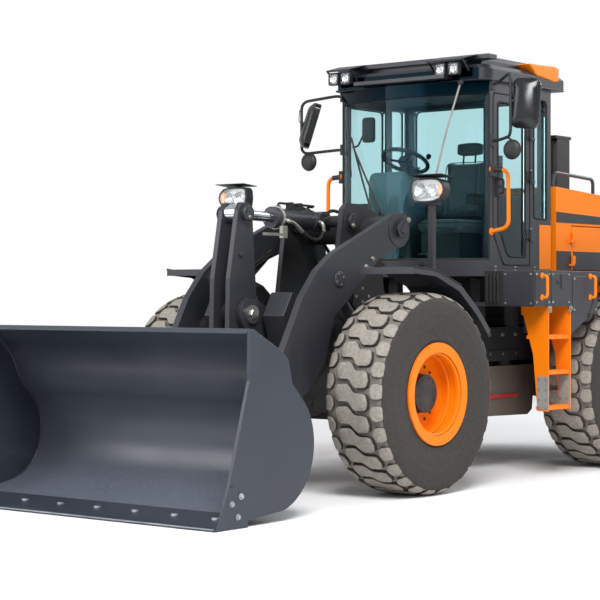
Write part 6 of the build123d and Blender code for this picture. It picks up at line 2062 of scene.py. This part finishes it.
# Studio

FLOOR_RADIUS = 60.0
CAMERA_SPOT = (11.952, 8.624, 1.457)
CAMERA_YAW = math.radians(38.554)
CAMERA_PITCH = math.radians(0.188)
CAMERA_LENS = 109.46
SOFTBOXES = (
    ("key_softbox", (7.0, 6.0, 9.0), (0.5, 0, 1.0), 1250, 4.5),
    ("fill_softbox", (9.0, -6.0, 5.0), (0, 0, 1.2), 350, 6.0),
    ("rear_softbox", (-9.0, 3.0, 7.0), (-1, 0, 1.5), 450, 5.0)
)


def studio():
    floor = bmesh.new()
    add_turned(floor, [(0.0, 0.0), (FLOOR_RADIUS, 0.0)], (0, 0, 0), UP, 64, closed=False)
    data = bpy.data.meshes.new("studio_floor")
    floor.to_mesh(data)
    floor.free()
    material, tree, here, surface = new_material("matt_studio_paper")
    grain = noise(tree, here, 90, 3)
    tint = blend_colour(tree, ramp(tree, grain, 0.3, 0.7, 0, 0.3), colour("f6f6f6"), colour("f1f1f1"))
    connect(tree, surface, Base_Color=tint, Roughness=0.9, Specular_IOR_Level=0.1)
    data.materials.append(material)
    ground = bpy.data.objects.new("studio_floor", data)
    bpy.context.scene.collection.objects.link(ground)
    world = bpy.data.worlds.new("studio_sky")
    world.use_nodes = True
    sky = world.node_tree
    sky.nodes.clear()
    rays = add(sky, "ShaderNodeLightPath")
    seen = add(
        sky, "ShaderNodeMath", {0: rays.outputs["Is Camera Ray"], 1: rays.outputs["Is Transmission Ray"]},
        operation="MAXIMUM"
    )
    plain = add(sky, "ShaderNodeBackground", {"Color": (1, 1, 1, 1), "Strength": 1.0})
    soft = add(sky, "ShaderNodeBackground", {"Color": colour("f4f7fb"), "Strength": 0.62})
    both = add(sky, "ShaderNodeMixShader", {0: seen.outputs[0], 1: soft.outputs[0], 2: plain.outputs[0]})
    add(sky, "ShaderNodeOutputWorld", {"Surface": both.outputs[0]})
    bpy.context.scene.world = world
    for name, spot, target, power, size in SOFTBOXES:
        lamp = bpy.data.lights.new(name, "AREA")
        lamp.energy = power
        lamp.size = size
        holder = bpy.data.objects.new(name, lamp)
        holder.location = spot
        holder.rotation_euler = (Vector(target) - Vector(spot)).to_track_quat("-Z", "Y").to_euler()
        bpy.context.scene.collection.objects.link(holder)
    lens_data = bpy.data.cameras.new("photo_camera")
    lens_data.lens = CAMERA_LENS
    lens_data.sensor_width = 36.0
    lens_data.clip_end = 200.0
    camera = bpy.data.objects.new("photo_camera", lens_data)
    level = math.cos(CAMERA_PITCH)
    way = Vector((-math.cos(CAMERA_YAW) * level, -math.sin(CAMERA_YAW) * level, -math.sin(CAMERA_PITCH)))
    camera.location = CAMERA_SPOT
    camera.rotation_euler = way.to_track_quat("-Z", "Y").to_euler()
    bpy.context.scene.collection.objects.link(camera)
    bpy.context.scene.camera = camera
    bpy.context.scene.view_settings.view_transform = "Standard"


studio()
paint_nodes()
for end in AXLES:
    for side in SIDES:
        tyre(end, side)
        wheel_details(end, side)
bucket_details()
boom_details()
crank_details()
all_cylinder_details()
for side in SIDES:
    headlight(side)
for details in (
    front_frame_details, fender_details, axle_details, driveline_details, rear_frame_details,
    platform_details, ladder_details, rear_fender_details, cab_seals, cab_fittings, work_lamps, mirrors,
    cab_interior, seat_cushions, hood_details, rear_details
):
    details()
